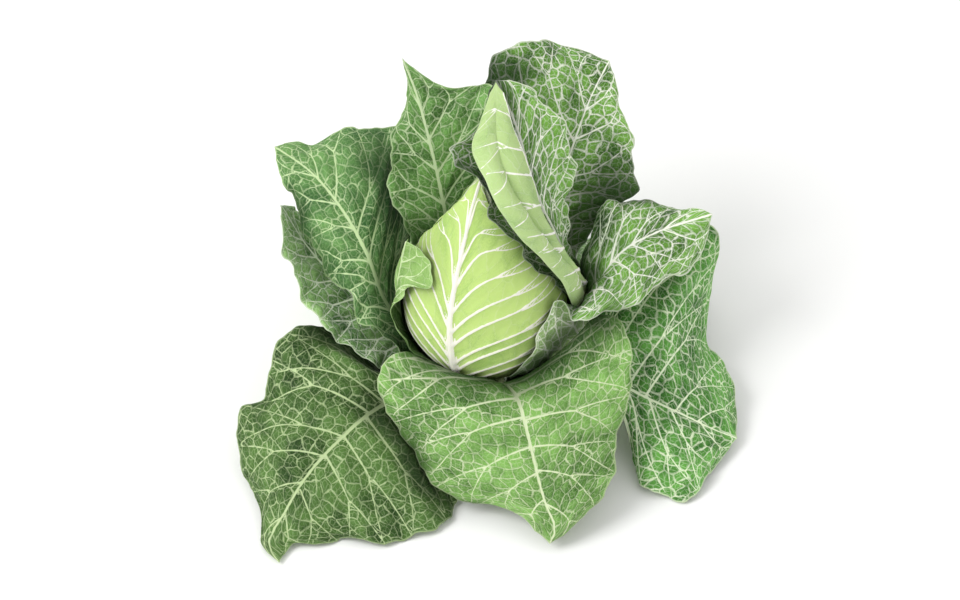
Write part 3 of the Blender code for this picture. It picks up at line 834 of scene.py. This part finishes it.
class Graph:
    """Adds nodes to a shader or geometry node tree and links them."""

    def __init__(self, tree: bpy.types.NodeTree) -> None:
        self.tree = tree

    def add(self, kind: str, inputs: dict | None = None, **settings) -> bpy.types.Node:
        """Adds one node.

        Args:
            kind: Blender's name for the node's type.
            inputs: Values or sockets for its inputs, by name or by number.
            settings: Properties of the node.

        Returns:
            The node.
        """
        node = self.tree.nodes.new(kind)
        node.location = (180 * (len(self.tree.nodes) % 12), -220 * (len(self.tree.nodes) // 12))
        for key, value in settings.items():
            setattr(node, key, value)
        for key, value in (inputs or {}).items():
            if isinstance(value, bpy.types.NodeSocket):
                self.tree.links.new(value, node.inputs[key])
            else:
                node.inputs[key].default_value = value
        return node

    def math(self, operation: str, a: Input, b: Input = 0.0, c: Input = 0.0) -> Socket:
        """Output of a math node."""
        return self.add("ShaderNodeMath", {0: a, 1: b, 2: c}, operation=operation).outputs[0]

    def ramp(self, value: Input, low: Input, high: Input, start: float = 0.0, end: float = 1.0) -> Socket:
        """Smooth step of value from start at low to end at high."""
        inputs = {"Value": value, "From Min": low, "From Max": high, "To Min": start, "To Max": end}
        return self.add("ShaderNodeMapRange", inputs, interpolation_type="SMOOTHSTEP").outputs[0]

    def noise(self, at: Socket, scale: float, detail: float = 2.0) -> Socket:
        """Value of a noise texture."""
        return self.add("ShaderNodeTexNoise", {"Vector": at, "Scale": scale, "Detail": detail}).outputs[0]

    def vector(self, operation: str, inputs: dict) -> Socket:
        """Output of a vector math node."""
        return self.add("ShaderNodeVectorMath", inputs, operation=operation).outputs[0]

    def cells(self, inputs: dict, feature: str) -> bpy.types.Node:
        """A flat Voronoi texture."""
        return self.add("ShaderNodeTexVoronoi", inputs, voronoi_dimensions="2D", feature=feature)

    def mix(self, factor: Input, a: Input, b: Input) -> Socket:
        """Mix of two colours."""
        a, b = ((*c, 1.0) if isinstance(c, tuple) else c for c in (a, b))
        return self.add("ShaderNodeMix", {0: factor, 6: a, 7: b}, data_type="RGBA").outputs[2]


def new_group(name: str, kind: str, inputs: dict, outputs: dict) -> tuple[bpy.types.NodeTree, Graph, dict]:
    """Makes a node group.

    Args:
        name: Its name.
        kind: ShaderNodeTree or GeometryNodeTree.
        inputs: Default value of each input, or its socket type where it has none.
        outputs: Socket type of each output.

    Returns:
        The group, a graph to fill it with, and its input sockets by name.
    """
    tree = bpy.data.node_groups.new(name, kind)
    for key, value in inputs.items():
        number = "NodeSocketColor" if isinstance(value, tuple) else "NodeSocketFloat"
        named = value if isinstance(value, str) else number
        socket = tree.interface.new_socket(key, in_out="INPUT", socket_type=named)
        if not isinstance(value, str):
            socket.default_value = (*value, 1.0) if isinstance(value, tuple) else value
    for key, value in outputs.items():
        tree.interface.new_socket(key, in_out="OUTPUT", socket_type=value)
    graph = Graph(tree)
    start = graph.add("NodeGroupInput")
    return tree, graph, {key: start.outputs[key] for key in inputs}


def network(graph: Graph, flat: Socket, cell: Socket) -> tuple[Socket, Socket, Socket]:
    """Network of small veins on a leaf's flat layout. Relief and colour share it.

    Args:
        graph: Tree to build it in.
        flat: Flat place, in FLAT_UNIT.
        cell: Size of a cell in millimetres.

    Returns:
        Distance to the nearest line in millimetres, the cell's own random number, and the same distance
        for the finer network inside the cells.
    """
    drift = graph.add("ShaderNodeTexNoise", {"Vector": flat, "Scale": 0.7, "Detail": 2.0})
    centred = graph.vector("SUBTRACT", {0: drift.outputs[1], 1: (0.5, 0.5, 0.5)})
    place = graph.vector("ADD", {0: flat, 1: graph.vector("SCALE", {0: centred, 3: 0.7})})
    scale = graph.math("DIVIDE", FLAT_UNIT, cell)
    settings = {"Vector": place, "Scale": scale, "Randomness": 0.8}
    finer = {"Vector": place, "Scale": graph.math("MULTIPLY", scale, FINER), "Randomness": 0.95}
    edge = graph.cells(settings, "DISTANCE_TO_EDGE").outputs[0]
    colour = graph.cells(settings, "F1").outputs[1]
    fine = graph.cells(finer, "DISTANCE_TO_EDGE").outputs[0]
    number = graph.add("ShaderNodeSeparateXYZ", {0: colour}).outputs[0]
    fine_cell = graph.math("DIVIDE", cell, FINER)
    return graph.math("MULTIPLY", edge, cell), number, graph.math("MULTIPLY", fine, fine_cell)


def leaf_colour_group() -> bpy.types.NodeTree:
    """Shader group that works out a leaf's colour, roughness and fine height."""
    tree, graph, given = new_group(
        "leaf_colour",
        "ShaderNodeTree",
        {"Light": (0.3, 0.5, 0.1), "Deep": (0.1, 0.2, 0.05), "Vein": (0.8, 0.9, 0.6),
         "Under": (0.4, 0.5, 0.2), "Cell": 8.5, "Line": 0.42, "Net": 0.8},
        {"Colour": "NodeSocketColor", "Roughness": "NodeSocketFloat", "Height": "NodeSocketFloat"},
    )
    flat = graph.add("ShaderNodeUVMap", uv_map="leaf").outputs[0]
    names = ("vein_far", "vein_side", "vein_size", "under", "edge_gap", "shade", "crevice_shade")
    stored = {name: graph.add("ShaderNodeAttribute", attribute_name=name).outputs[2] for name in names}
    past_end = graph.math("SUBTRACT", stored["vein_far"], VEIN_END)
    to_middle = graph.math("MAXIMUM", graph.math("ABSOLUTE", stored["vein_side"]), past_end)
    vein_gap = graph.math("SUBTRACT", to_middle, stored["vein_size"])
    edge, number, fine = network(graph, flat, given["Cell"])
    wander = graph.noise(flat, 2.2, 3.0)
    broad = graph.noise(flat, 0.2, 3.0)
    patch = graph.noise(flat, 0.65, 2.0)
    grain = graph.noise(flat, 9.0, 4.0)

    rough_gap = graph.math("ADD", vein_gap, graph.ramp(wander, 0.2, 0.8, -0.3, 0.3))
    thick = graph.ramp(rough_gap, -0.3, 0.35, 1.0, 0.0)
    width = graph.math("MULTIPLY", given["Line"], graph.ramp(wander, 0.3, 0.7, 0.4, 1.7))
    net = graph.ramp(edge, graph.math("MULTIPLY", width, 0.4), graph.math("MULTIPLY", width, 1.7), 1.0, 0.0)
    strength = graph.math("MULTIPLY", given["Net"], graph.ramp(grain, 0.3, 0.6, 0.6, 1.0))
    strength = graph.math("MULTIPLY", strength, graph.ramp(patch, 0.35, 0.6, 0.5, 1.0))
    # the network fades where the painted shade is strong
    strength = graph.math("MULTIPLY", strength, graph.ramp(stored["shade"], 0.2, 1.0, 1.0, 0.35))
    net = graph.math("MULTIPLY", net, strength)
    faint = graph.math("MULTIPLY", graph.ramp(fine, 0.1, 0.5, 0.34, 0.0), strength)
    rim = graph.math("MULTIPLY", graph.ramp(stored["edge_gap"], 0.5, 1.6, 0.7, 0.0), given["Net"])
    lines = graph.math("MAXIMUM", graph.math("MAXIMUM", net, faint), rim)
    lines = graph.math("MAXIMUM", lines, thick)

    # painted light and shade: each cell is lighter towards its middle and darker at its edges, as on the
    # lit domes of the pucker; the cell's own number adds random tone
    swell = graph.ramp(edge, 0.2, 2.6)
    tone = graph.math("ADD", graph.math("MULTIPLY", number, 0.3), graph.math("MULTIPLY", swell, 0.14))
    tone = graph.math("ADD", tone, graph.ramp(broad, 0.36, 0.64, -0.05, 0.42))
    tone = graph.math("ADD", tone, graph.ramp(patch, 0.32, 0.68, 0.0, 0.3))
    tone = graph.math("ADD", tone, graph.ramp(grain, 0.3, 0.7, -0.16, 0.16))
    # painted shade: where shade is high, the tone drops and the colour is pulled towards a darker deep
    # green
    tone = graph.math("MULTIPLY", tone, graph.math("SUBTRACT", 1.0, stored["shade"]))
    above = graph.mix(tone, given["Deep"], given["Light"])
    darker = graph.mix(0.55, given["Deep"], (0.0, 0.0, 0.0))
    above = graph.mix(graph.math("MULTIPLY", stored["shade"], 0.8), above, darker)
    half_deep = graph.mix(0.5, given["Under"], given["Deep"])
    below = graph.mix(graph.ramp(tone, 0.0, 0.8), half_deep, given["Under"])
    plain = graph.mix(stored["under"], above, below)
    # veins in painted shade are dimmed towards the cell colour
    shaded_vein = graph.mix(graph.math("MULTIPLY", stored["shade"], 0.5), given["Vein"], given["Light"])
    colour = graph.mix(lines, plain, shaded_vein)
    # painted shade: where another leaf comes close, the colour is pulled towards a near-black deep green
    hollow_shade = graph.mix(0.6, given["Deep"], (0.0, 0.0, 0.0))
    colour = graph.mix(stored["crevice_shade"], colour, hollow_shade)
    rough = graph.ramp(lines, 0.0, 1.0, 0.52, 0.42)
    height = graph.math("ADD", graph.math("MULTIPLY", lines, 0.6), graph.math("MULTIPLY", grain, 0.35))
    graph.add("NodeGroupOutput", {"Colour": colour, "Roughness": rough, "Height": height})
    return tree


def leaf_material(finish: LeafFinish, group: bpy.types.NodeTree) -> bpy.types.Material:
    """Material of one kind of leaf.

    Args:
        finish: Its colours and pattern.
        group: The group that leaf_colour_group made.

    Returns:
        The material.
    """
    made = bpy.data.materials.new(finish.name)
    made.use_nodes = True
    graph = Graph(made.node_tree)
    shader = made.node_tree.nodes["Principled BSDF"]
    look = graph.add("ShaderNodeGroup", node_tree=group)
    for key in ("Light", "Deep", "Vein", "Under"):
        look.inputs[key].default_value = (*getattr(finish, key.lower()), 1.0)
    for key in ("Cell", "Line", "Net"):
        look.inputs[key].default_value = getattr(finish, key.lower())
    height = look.outputs["Height"]
    bump = graph.add("ShaderNodeBump", {"Height": height, "Strength": 0.35, "Distance": 0.0006})
    made.node_tree.links.new(look.outputs["Colour"], shader.inputs["Base Color"])
    made.node_tree.links.new(look.outputs["Roughness"], shader.inputs["Roughness"])
    made.node_tree.links.new(bump.outputs[0], shader.inputs["Normal"])
    shader.inputs["Specular IOR Level"].default_value = 0.1
    shader.inputs["Subsurface Weight"].default_value = 0.1
    shader.inputs["Subsurface Radius"].default_value = (0.6, 1.0, 0.25)
    shader.inputs["Subsurface Scale"].default_value = 0.002
    made.diffuse_color = (*finish.light, 1.0)
    return made


def stem_material() -> bpy.types.Material:
    """Pale, fibrous cut stem."""
    made = bpy.data.materials.new("cut_stem")
    made.use_nodes = True
    graph = Graph(made.node_tree)
    shader = made.node_tree.nodes["Principled BSDF"]
    place = graph.add("ShaderNodeTexCoord").outputs["Object"]
    stretched = graph.add("ShaderNodeMapping", {"Vector": place, "Scale": (1.0, 1.0, 0.15)}).outputs[0]
    fibre = graph.noise(stretched, 400.0, 4.0)
    patch = graph.noise(place, 60.0, 3.0)
    colour = graph.mix(graph.ramp(fibre, 0.3, 0.7), (0.45, 0.55, 0.24), (0.70, 0.74, 0.46))
    colour = graph.mix(graph.ramp(patch, 0.5, 0.75, 0.0, 0.5), colour, (0.60, 0.55, 0.33))
    made.node_tree.links.new(colour, shader.inputs["Base Color"])
    bump = graph.add("ShaderNodeBump", {"Height": fibre, "Strength": 0.4, "Distance": 0.0005})
    made.node_tree.links.new(bump.outputs[0], shader.inputs["Normal"])
    shader.inputs["Roughness"].default_value = 0.6
    return made


def relief_group() -> bpy.types.NodeTree:
    """Geometry Nodes group that raises the pucker and the veins of a leaf, and sets its material."""
    tree, graph, given = new_group(
        "leaf_relief",
        "GeometryNodeTree",
        {"Geometry": "NodeSocketGeometry", "Cell": 8.5, "Pucker": 0.9, "Vein Height": 1.0, "Swell": 1.8,
         "Material": "NodeSocketMaterial"},
        {"Geometry": "NodeSocketGeometry"},
    )

    def stored(name: str, kind: str = "FLOAT") -> Socket:
        """Reads a field that the leaf's mesh holds."""
        return graph.add("GeometryNodeInputNamedAttribute", {"Name": name}, data_type=kind).outputs[0]

    flat, up = stored("leaf", "FLOAT_VECTOR"), stored("up", "FLOAT_VECTOR")
    far, size, under, margin = (stored(name) for name in ("vein_far", "vein_size", "under", "edge_gap"))
    gap = graph.math("SUBTRACT", far, size)
    edge, number, _ = network(graph, flat, given["Cell"])
    dome = graph.ramp(edge, 0.0, graph.math("MULTIPLY", given["Cell"], 0.42))
    own = graph.ramp(number, 0.0, 1.0, 0.55, 1.2)
    clear = graph.math("MULTIPLY", graph.ramp(gap, 0.0, 3.0), graph.ramp(margin, 0.0, 5.0, 0.25, 1.0))
    pucker = graph.math("MULTIPLY", dome, own)
    pucker = graph.math("MULTIPLY", pucker, graph.math("MULTIPLY", clear, given["Pucker"]))
    swell = graph.math("MULTIPLY", graph.ramp(gap, 0.0, 9.0), given["Swell"])
    swell = graph.math("MULTIPLY", swell, graph.ramp(margin, 0.0, 12.0, 0.2, 1.0))
    pucker = graph.math("ADD", pucker, swell)
    tall = graph.math("MULTIPLY", graph.math("MINIMUM", size, 2.5), given["Vein Height"])
    ridge = graph.math("MULTIPLY", graph.ramp(gap, graph.math("MULTIPLY", size, -0.8), 0.9, 1.0, 0.0), tall)
    lower = graph.math("SUBTRACT", pucker, ridge)
    upper = graph.math("ADD", pucker, graph.math("MULTIPLY", ridge, -0.22))
    lift = graph.math("ADD", upper, graph.math("MULTIPLY", under, graph.math("SUBTRACT", lower, upper)))
    metres = graph.math("MULTIPLY", lift, MM)
    offset = graph.vector("SCALE", {0: up, 3: metres})
    moved = graph.add("GeometryNodeSetPosition", {"Geometry": given["Geometry"], "Offset": offset})
    solid = graph.add("GeometryNodeRealizeInstances", {0: moved.outputs[0]})
    inputs = {"Geometry": solid.outputs[0], "Material": given["Material"]}
    dressed = graph.add("GeometryNodeSetMaterial", inputs)
    graph.add("NodeGroupOutput", {"Geometry": dressed.outputs[0]})
    return tree


def relieved(piece: bpy.types.Object, group: bpy.types.NodeTree, values: dict) -> None:
    """Applies the relief to a leaf and leaves it a plain mesh.

    Args:
        piece: The leaf.
        group: The group that relief_group made.
        values: Values of the group's inputs, by name.
    """
    modifier = piece.modifiers.new("relief", "NODES")
    modifier.node_group = group
    for socket in group.interface.items_tree:
        if socket.in_out == "INPUT" and socket.name in values:
            modifier[socket.identifier] = values[socket.name]
    graph = bpy.context.evaluated_depsgraph_get()
    made = bpy.data.meshes.new_from_object(piece.evaluated_get(graph))
    piece.modifiers.remove(modifier)
    old, piece.data = piece.data, made
    made.name = piece.name
    bpy.data.meshes.remove(old)


def new_piece(name: str, points: np.ndarray, quads: np.ndarray) -> bpy.types.Object:
    """Makes a smooth mesh object from points in millimetres.

    Args:
        name: Its name.
        points: Points, as rows of three.
        quads: Faces, as rows of four point numbers.

    Returns:
        The object, at the origin.
    """
    mesh = bpy.data.meshes.new(name)
    mesh.vertices.add(len(points))
    mesh.vertices.foreach_set("co", (points * MM).astype(np.float32).ravel())
    mesh.loops.add(quads.size)
    mesh.loops.foreach_set("vertex_index", quads.astype(np.int32).ravel())
    mesh.polygons.add(len(quads))
    mesh.polygons.foreach_set("loop_start", np.arange(0, quads.size, 4, dtype=np.int32))
    mesh.polygons.foreach_set("use_smooth", np.ones(len(quads), bool))
    mesh.update(calc_edges=True)
    piece = bpy.data.objects.new(name, mesh)
    bpy.context.scene.collection.objects.link(piece)
    return piece


def set_field(mesh: bpy.types.Mesh, name: str, values: np.ndarray) -> None:
    """Stores a number or a vector for each point of a mesh."""
    kind = "FLOAT_VECTOR" if values.ndim == 2 else "FLOAT"
    layer = mesh.attributes.new(name, kind, "POINT")
    layer.data.foreach_set("vector" if values.ndim == 2 else "value", values.astype(np.float32).ravel())


def declared(piece: bpy.types.Object, node: str) -> bpy.types.Object:
    """Puts a piece under the root body and hides the CAD node that it stands for.

    Args:
        piece: The finished piece.
        node: The CAD node that it stands for.

    Returns:
        The same piece.
    """
    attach(piece, "root")
    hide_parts(node)
    log.info("%s: %d faces", node, len(piece.data.polygons))
    return piece


def rim_of(rows: int, columns: int) -> np.ndarray:
    """Point numbers round the outside of a grid."""
    ends = [np.arange(columns), np.arange(1, rows) * columns + columns - 1]
    ends += [(rows - 1) * columns + np.arange(columns - 2, -1, -1), np.arange(rows - 2, 0, -1) * columns]
    return np.concatenate(ends)


class LeafBuilder:
    """Lays the leaves round the heart, from the inside out, and finishes each as a piece."""

    def __init__(self) -> None:
        head = HEAD
        shares = np.linspace(1, 0, 15)
        angles = np.radians(np.linspace(0, 360, 41))
        radii, heights = head.radius_at(shares)[:, None], (head.foot + head.height * shares)[:, None]
        ball = np.stack([radii * np.cos(angles), radii * np.sin(angles), heights + 0 * angles], axis=-1)
        self.placed = [Placed(ball, -unit(ball - [0, 0, head.foot + 0.35 * head.height]))]
        self.relief = relief_group()
        self.colour = leaf_colour_group()
        self.materials: dict[str, bpy.types.Material] = {}

    def lay(self, leaf: Leaf) -> tuple[np.ndarray, np.ndarray]:
        """Eases one leaf clear of those that are already in place.

        Args:
            leaf: Its shape and finish.

        Returns:
            Its eased cage, and how far that moved each point of the cage.
        """
        first = leaf.surface(spread(CAGE_ROWS), np.linspace(-1, 1, 2 * CAGE_HALF + 1), detail=False)
        spacing = EASING.head_spacing if isinstance(leaf, HeadLeaf) else EASING.leaf_spacing
        cage = eased(first, self.placed, spacing, EASING.head_spacing * leaf.layer)
        self.placed.append(Placed(cage, sheet_normals(cage) * (-1 if leaf.outward else 1)))
        return cage, cage - first

    def crevice_shade_mask(self, grid: np.ndarray, others: list[np.ndarray], reach: float) -> np.ndarray:
        """How nearly the other leaves cover each face of a leaf, as the mask of the painted shade between
        leaves.

        Args:
            grid: The leaf's fine grid.
            others: Cages of the other leaves.
            reach: Distance at which another leaf stops counting.

        Returns:
            Shares for its upper face and its lower face over the grid.
        """
        rows, columns = others[0].shape[:2]
        quads = np.concatenate([grid_quads(rows, columns, k * rows * columns) for k in range(len(others))])
        points = np.concatenate([cage.reshape(-1, 3) for cage in others])
        tree = BVHTree.FromPolygons([Vector(p) for p in points], quads.tolist())
        coarse = grid[:: CREVICE_STEP, :: CREVICE_STEP]
        shares = closeness(coarse.reshape(-1, 3), sheet_normals(coarse).reshape(-1, 3), tree, reach)
        shares = soften(shares.reshape(*coarse.shape[:2], 2), 1)
        return np.clip(resample(shares, spread(grid.shape[0]), np.linspace(-1, 1, grid.shape[1])), 0, 1)

    def dress(self, leaf: Leaf, shift: np.ndarray, others: list[np.ndarray]) -> bpy.types.Object:
        """Makes one leaf's piece, puts it under the root body and hides the CAD node that it stands for.

        Args:
            leaf: Its shape and finish.
            shift: How far easing moved its cage.
            others: Cages of the other leaves.

        Returns:
            The piece.
        """
        u, v = spread(leaf.rows), np.linspace(-1, 1, 2 * leaf.half + 1)
        grid = leaf.surface(u, v, detail=True) + resample(shift, u, v)
        normal = sheet_normals(grid)
        far, sided, size = vein_fields(leaf.veins, leaf.phase, grid, normal)
        aside, up = spans(grid)
        width = np.abs(aside[:, [0, -1]])
        side = np.where(v < 0, width[:, :1], width[:, 1:])
        length = up[-1, leaf.half]
        from_edge = np.minimum((1 - np.abs(v)) * side, (1 - u[:, None]) * length)
        climbed = (up + up[:, [leaf.half]] - leaf.veins.path(0.0, np.abs(v)) * length) / 2

        body = BLADE + RIB_EXTRA * (1 - np.abs(v)) * (1 - u[:, None])
        body = body * smooth(-0.5, 3.0, from_edge) + EDGE
        upper, lower = grid + normal * body[..., None], grid - normal * body[..., None]
        lower[..., 2] = np.maximum(lower[..., 2], LOWEST_UNDER)
        upper[..., 2] = np.maximum(upper[..., 2], LOWEST_UPPER)
        count = grid.shape[0] * grid.shape[1]
        top = grid_quads(*grid.shape[:2])
        rim = rim_of(*grid.shape[:2])
        ahead = np.roll(rim, -1)
        wall = np.stack([ahead, rim, rim + count, ahead + count], axis=-1)
        quads = np.concatenate([top, top[:, ::-1] + count, wall])
        points = np.concatenate([upper.reshape(-1, 3), lower.reshape(-1, 3)])
        piece = new_piece(leaf.node + "_look", points, quads)

        mesh, finish = piece.data, leaf.finish
        # painted shade: darker towards the foot of the leaf, and in stripes along the folds at its foot
        shade = leaf.shade[0] * (1 - smooth(0.0, leaf.shade[1], u[:, None] + 0.06 * np.abs(v)))
        shade = np.maximum(shade, 0.9 * leaf.folds(u, v))
        fields = {"vein_far": far, "vein_side": sided, "vein_size": size, "edge_gap": from_edge}
        for name, values in (fields | {"shade": shade}).items():
            set_field(mesh, name, np.tile(np.ravel(values), 2))
        # painted shade on each face where other leaves come close, standing in for the shade between leaves
        painted_crevice_shade = finish.hollow_shade * smooth(0.15, 0.95, self.crevice_shade_mask(grid, others, leaf.cover))
        set_field(mesh, "crevice_shade", np.moveaxis(painted_crevice_shade, -1, 0).ravel())
        set_field(mesh, "under", np.repeat([0.0, 1.0], count))
        set_field(mesh, "up", np.tile(normal.reshape(-1, 3), (2, 1)))
        places = np.stack([aside, climbed], axis=-1) / FLAT_UNIT + 40 * leaf.phase
        spots = np.tile(places.reshape(-1, 2), (2, 1))
        layer = mesh.uv_layers.new(name="leaf")
        layer.data.foreach_set("uv", spots[quads.ravel()].astype(np.float32).ravel())
        if finish.name not in self.materials:
            self.materials[finish.name] = leaf_material(finish, self.colour)
        inputs = {"Cell": finish.cell, "Pucker": finish.pucker, "Swell": 2.0 * finish.pucker,
                  "Vein Height": leaf.veins.height, "Material": self.materials[finish.name]}
        relieved(piece, self.relief, inputs)
        return declared(piece, leaf.node)

    def build(self, leaves: Sequence[Leaf]) -> None:
        """Lays all the leaves and then dresses them."""
        laid = [self.lay(leaf) for leaf in leaves]
        cages = [cage for cage, _ in laid]
        for number, (leaf, (_, shift)) in enumerate(zip(leaves, laid)):
            self.dress(leaf, shift, cages[:number] + cages[number + 1 :])


def lathe(name: str, outline: Sequence[Pair], steps: int, unevenness: float) -> bpy.types.Object:
    """Solid of revolution with a slightly uneven side.

    Args:
        name: Its name.
        outline: (radius, height) pairs from top to bottom.
        steps: Points round it.
        unevenness: Greatest change of its radius, as a share.

    Returns:
        The piece.
    """
    turn = 2 * math.pi * np.arange(steps) / steps
    uneven = 1 + unevenness * (np.sin(3 * turn + 0.4) + 0.6 * np.sin(5 * turn + 2.0)) / 1.6
    rows = [(1e-3, outline[0][1]), *outline, (1e-3, outline[-1][1])]
    across, heights = np.array(rows).T[:, :, None]
    reach = across * uneven
    points = np.stack([reach * np.cos(turn), reach * np.sin(turn), heights + 0 * turn], axis=-1)
    i, j = np.meshgrid(np.arange(len(rows) - 1), np.arange(steps), indexing="ij")
    a, b = i * steps + j, i * steps + (j + 1) % steps
    quads = np.stack([a, a + steps, b + steps, b], axis=-1).reshape(-1, 4)
    return new_piece(name, points.reshape(-1, 3), quads)


def plain_material(name: str, colour: Colour, roughness: float) -> bpy.types.Material:
    """Material of one plain colour."""
    made = bpy.data.materials.new(name)
    made.use_nodes = True
    shader = made.node_tree.nodes["Principled BSDF"]
    shader.inputs["Base Color"].default_value = (*colour, 1.0)
    shader.inputs["Roughness"].default_value = roughness
    return made


@dataclass(frozen=True)
class Studio:
    """Floor, light and camera. Lengths are in metres.

    Attributes:
        elevation: Camera's height above the horizon, in degrees.
        distance: Camera's distance from what it looks at.
        lens: Its focal length in millimetres.
        aim: Point that it looks at.
        sensor: Width of its sensor in millimetres.
        sky: Strength of the white sky.
        paper: Colour of the floor.
        floor_half: Half the floor's width.
        lamp_place: Where the soft lamp hangs.
        lamp_size: Width of the lamp.
        lamp_power: Its power in watts.
        lamp_aim: Point that it shines at.
    """

    elevation: float = 42.0
    distance: float = 4.0
    lens: float = 200.0
    aim: Point = (-0.0045, 0.0477, 0.0529)
    sensor: float = 36.0
    sky: float = 0.92
    paper: Colour = (0.93, 0.93, 0.92)
    floor_half: float = 6.0
    lamp_place: Point = (-1.5, -0.9, 1.9)
    lamp_size: float = 1.2
    lamp_power: float = 34.0
    lamp_aim: Point = (0.0, 0.0, 0.08)

    def build(self) -> None:
        """Adds them to the scene."""
        self.floor()
        self.light()
        self.camera()
        bpy.context.scene.view_settings.view_transform = "Standard"
        log.info("studio: floor, sky, lamp and camera")

    def floor(self) -> None:
        """Adds the paper that the head stands on."""
        half = self.floor_half
        mesh = bpy.data.meshes.new("floor")
        corners = [(-half, -half, 0), (half, -half, 0), (half, half, 0), (-half, half, 0)]
        mesh.from_pydata(corners, [], [(0, 1, 2, 3)])
        floor = bpy.data.objects.new("floor", mesh)
        bpy.context.scene.collection.objects.link(floor)
        floor.data.materials.append(plain_material("floor_paper", self.paper, 0.9))

    def light(self) -> None:
        """Adds the white sky and a soft square lamp that faces the head."""
        world = bpy.data.worlds.new("studio")
        bpy.context.scene.world = world
        world.use_nodes = True
        background = world.node_tree.nodes["Background"]
        background.inputs["Color"].default_value = (1.0, 1.0, 1.0, 1.0)
        background.inputs["Strength"].default_value = self.sky
        lamp = bpy.data.lights.new("key", "AREA")
        lamp.size, lamp.energy = self.lamp_size, self.lamp_power
        holder = bpy.data.objects.new("key", lamp)
        bpy.context.scene.collection.objects.link(holder)
        holder.location = self.lamp_place
        way = Vector(self.lamp_aim) - Vector(self.lamp_place)
        holder.rotation_euler = way.to_track_quat("-Z", "Y").to_euler()

    def camera(self) -> None:
        """Adds the camera in front of the head and above it."""
        camera = bpy.data.cameras.new("camera")
        camera.lens, camera.sensor_width = self.lens, self.sensor
        camera.clip_start, camera.clip_end = 0.05, 100.0
        holder = bpy.data.objects.new("camera", camera)
        bpy.context.scene.collection.objects.link(holder)
        tilt = math.radians(self.elevation)
        back = Vector((0.0, -math.cos(tilt), math.sin(tilt)))
        holder.location = Vector(self.aim) + back * self.distance
        holder.rotation_euler = (-back).to_track_quat("-Z", "Y").to_euler()
        bpy.context.scene.camera = holder


def main() -> None:
    """Builds the leaves, the heart, the stem and the studio, in that order."""
    logging.basicConfig(level=logging.INFO)
    builder = LeafBuilder()
    builder.build(LEAVES)
    HEAD.build(builder.materials[HEART.name])
    STEM.build()
    Studio().build()


if __name__ == "__main__":
    main()
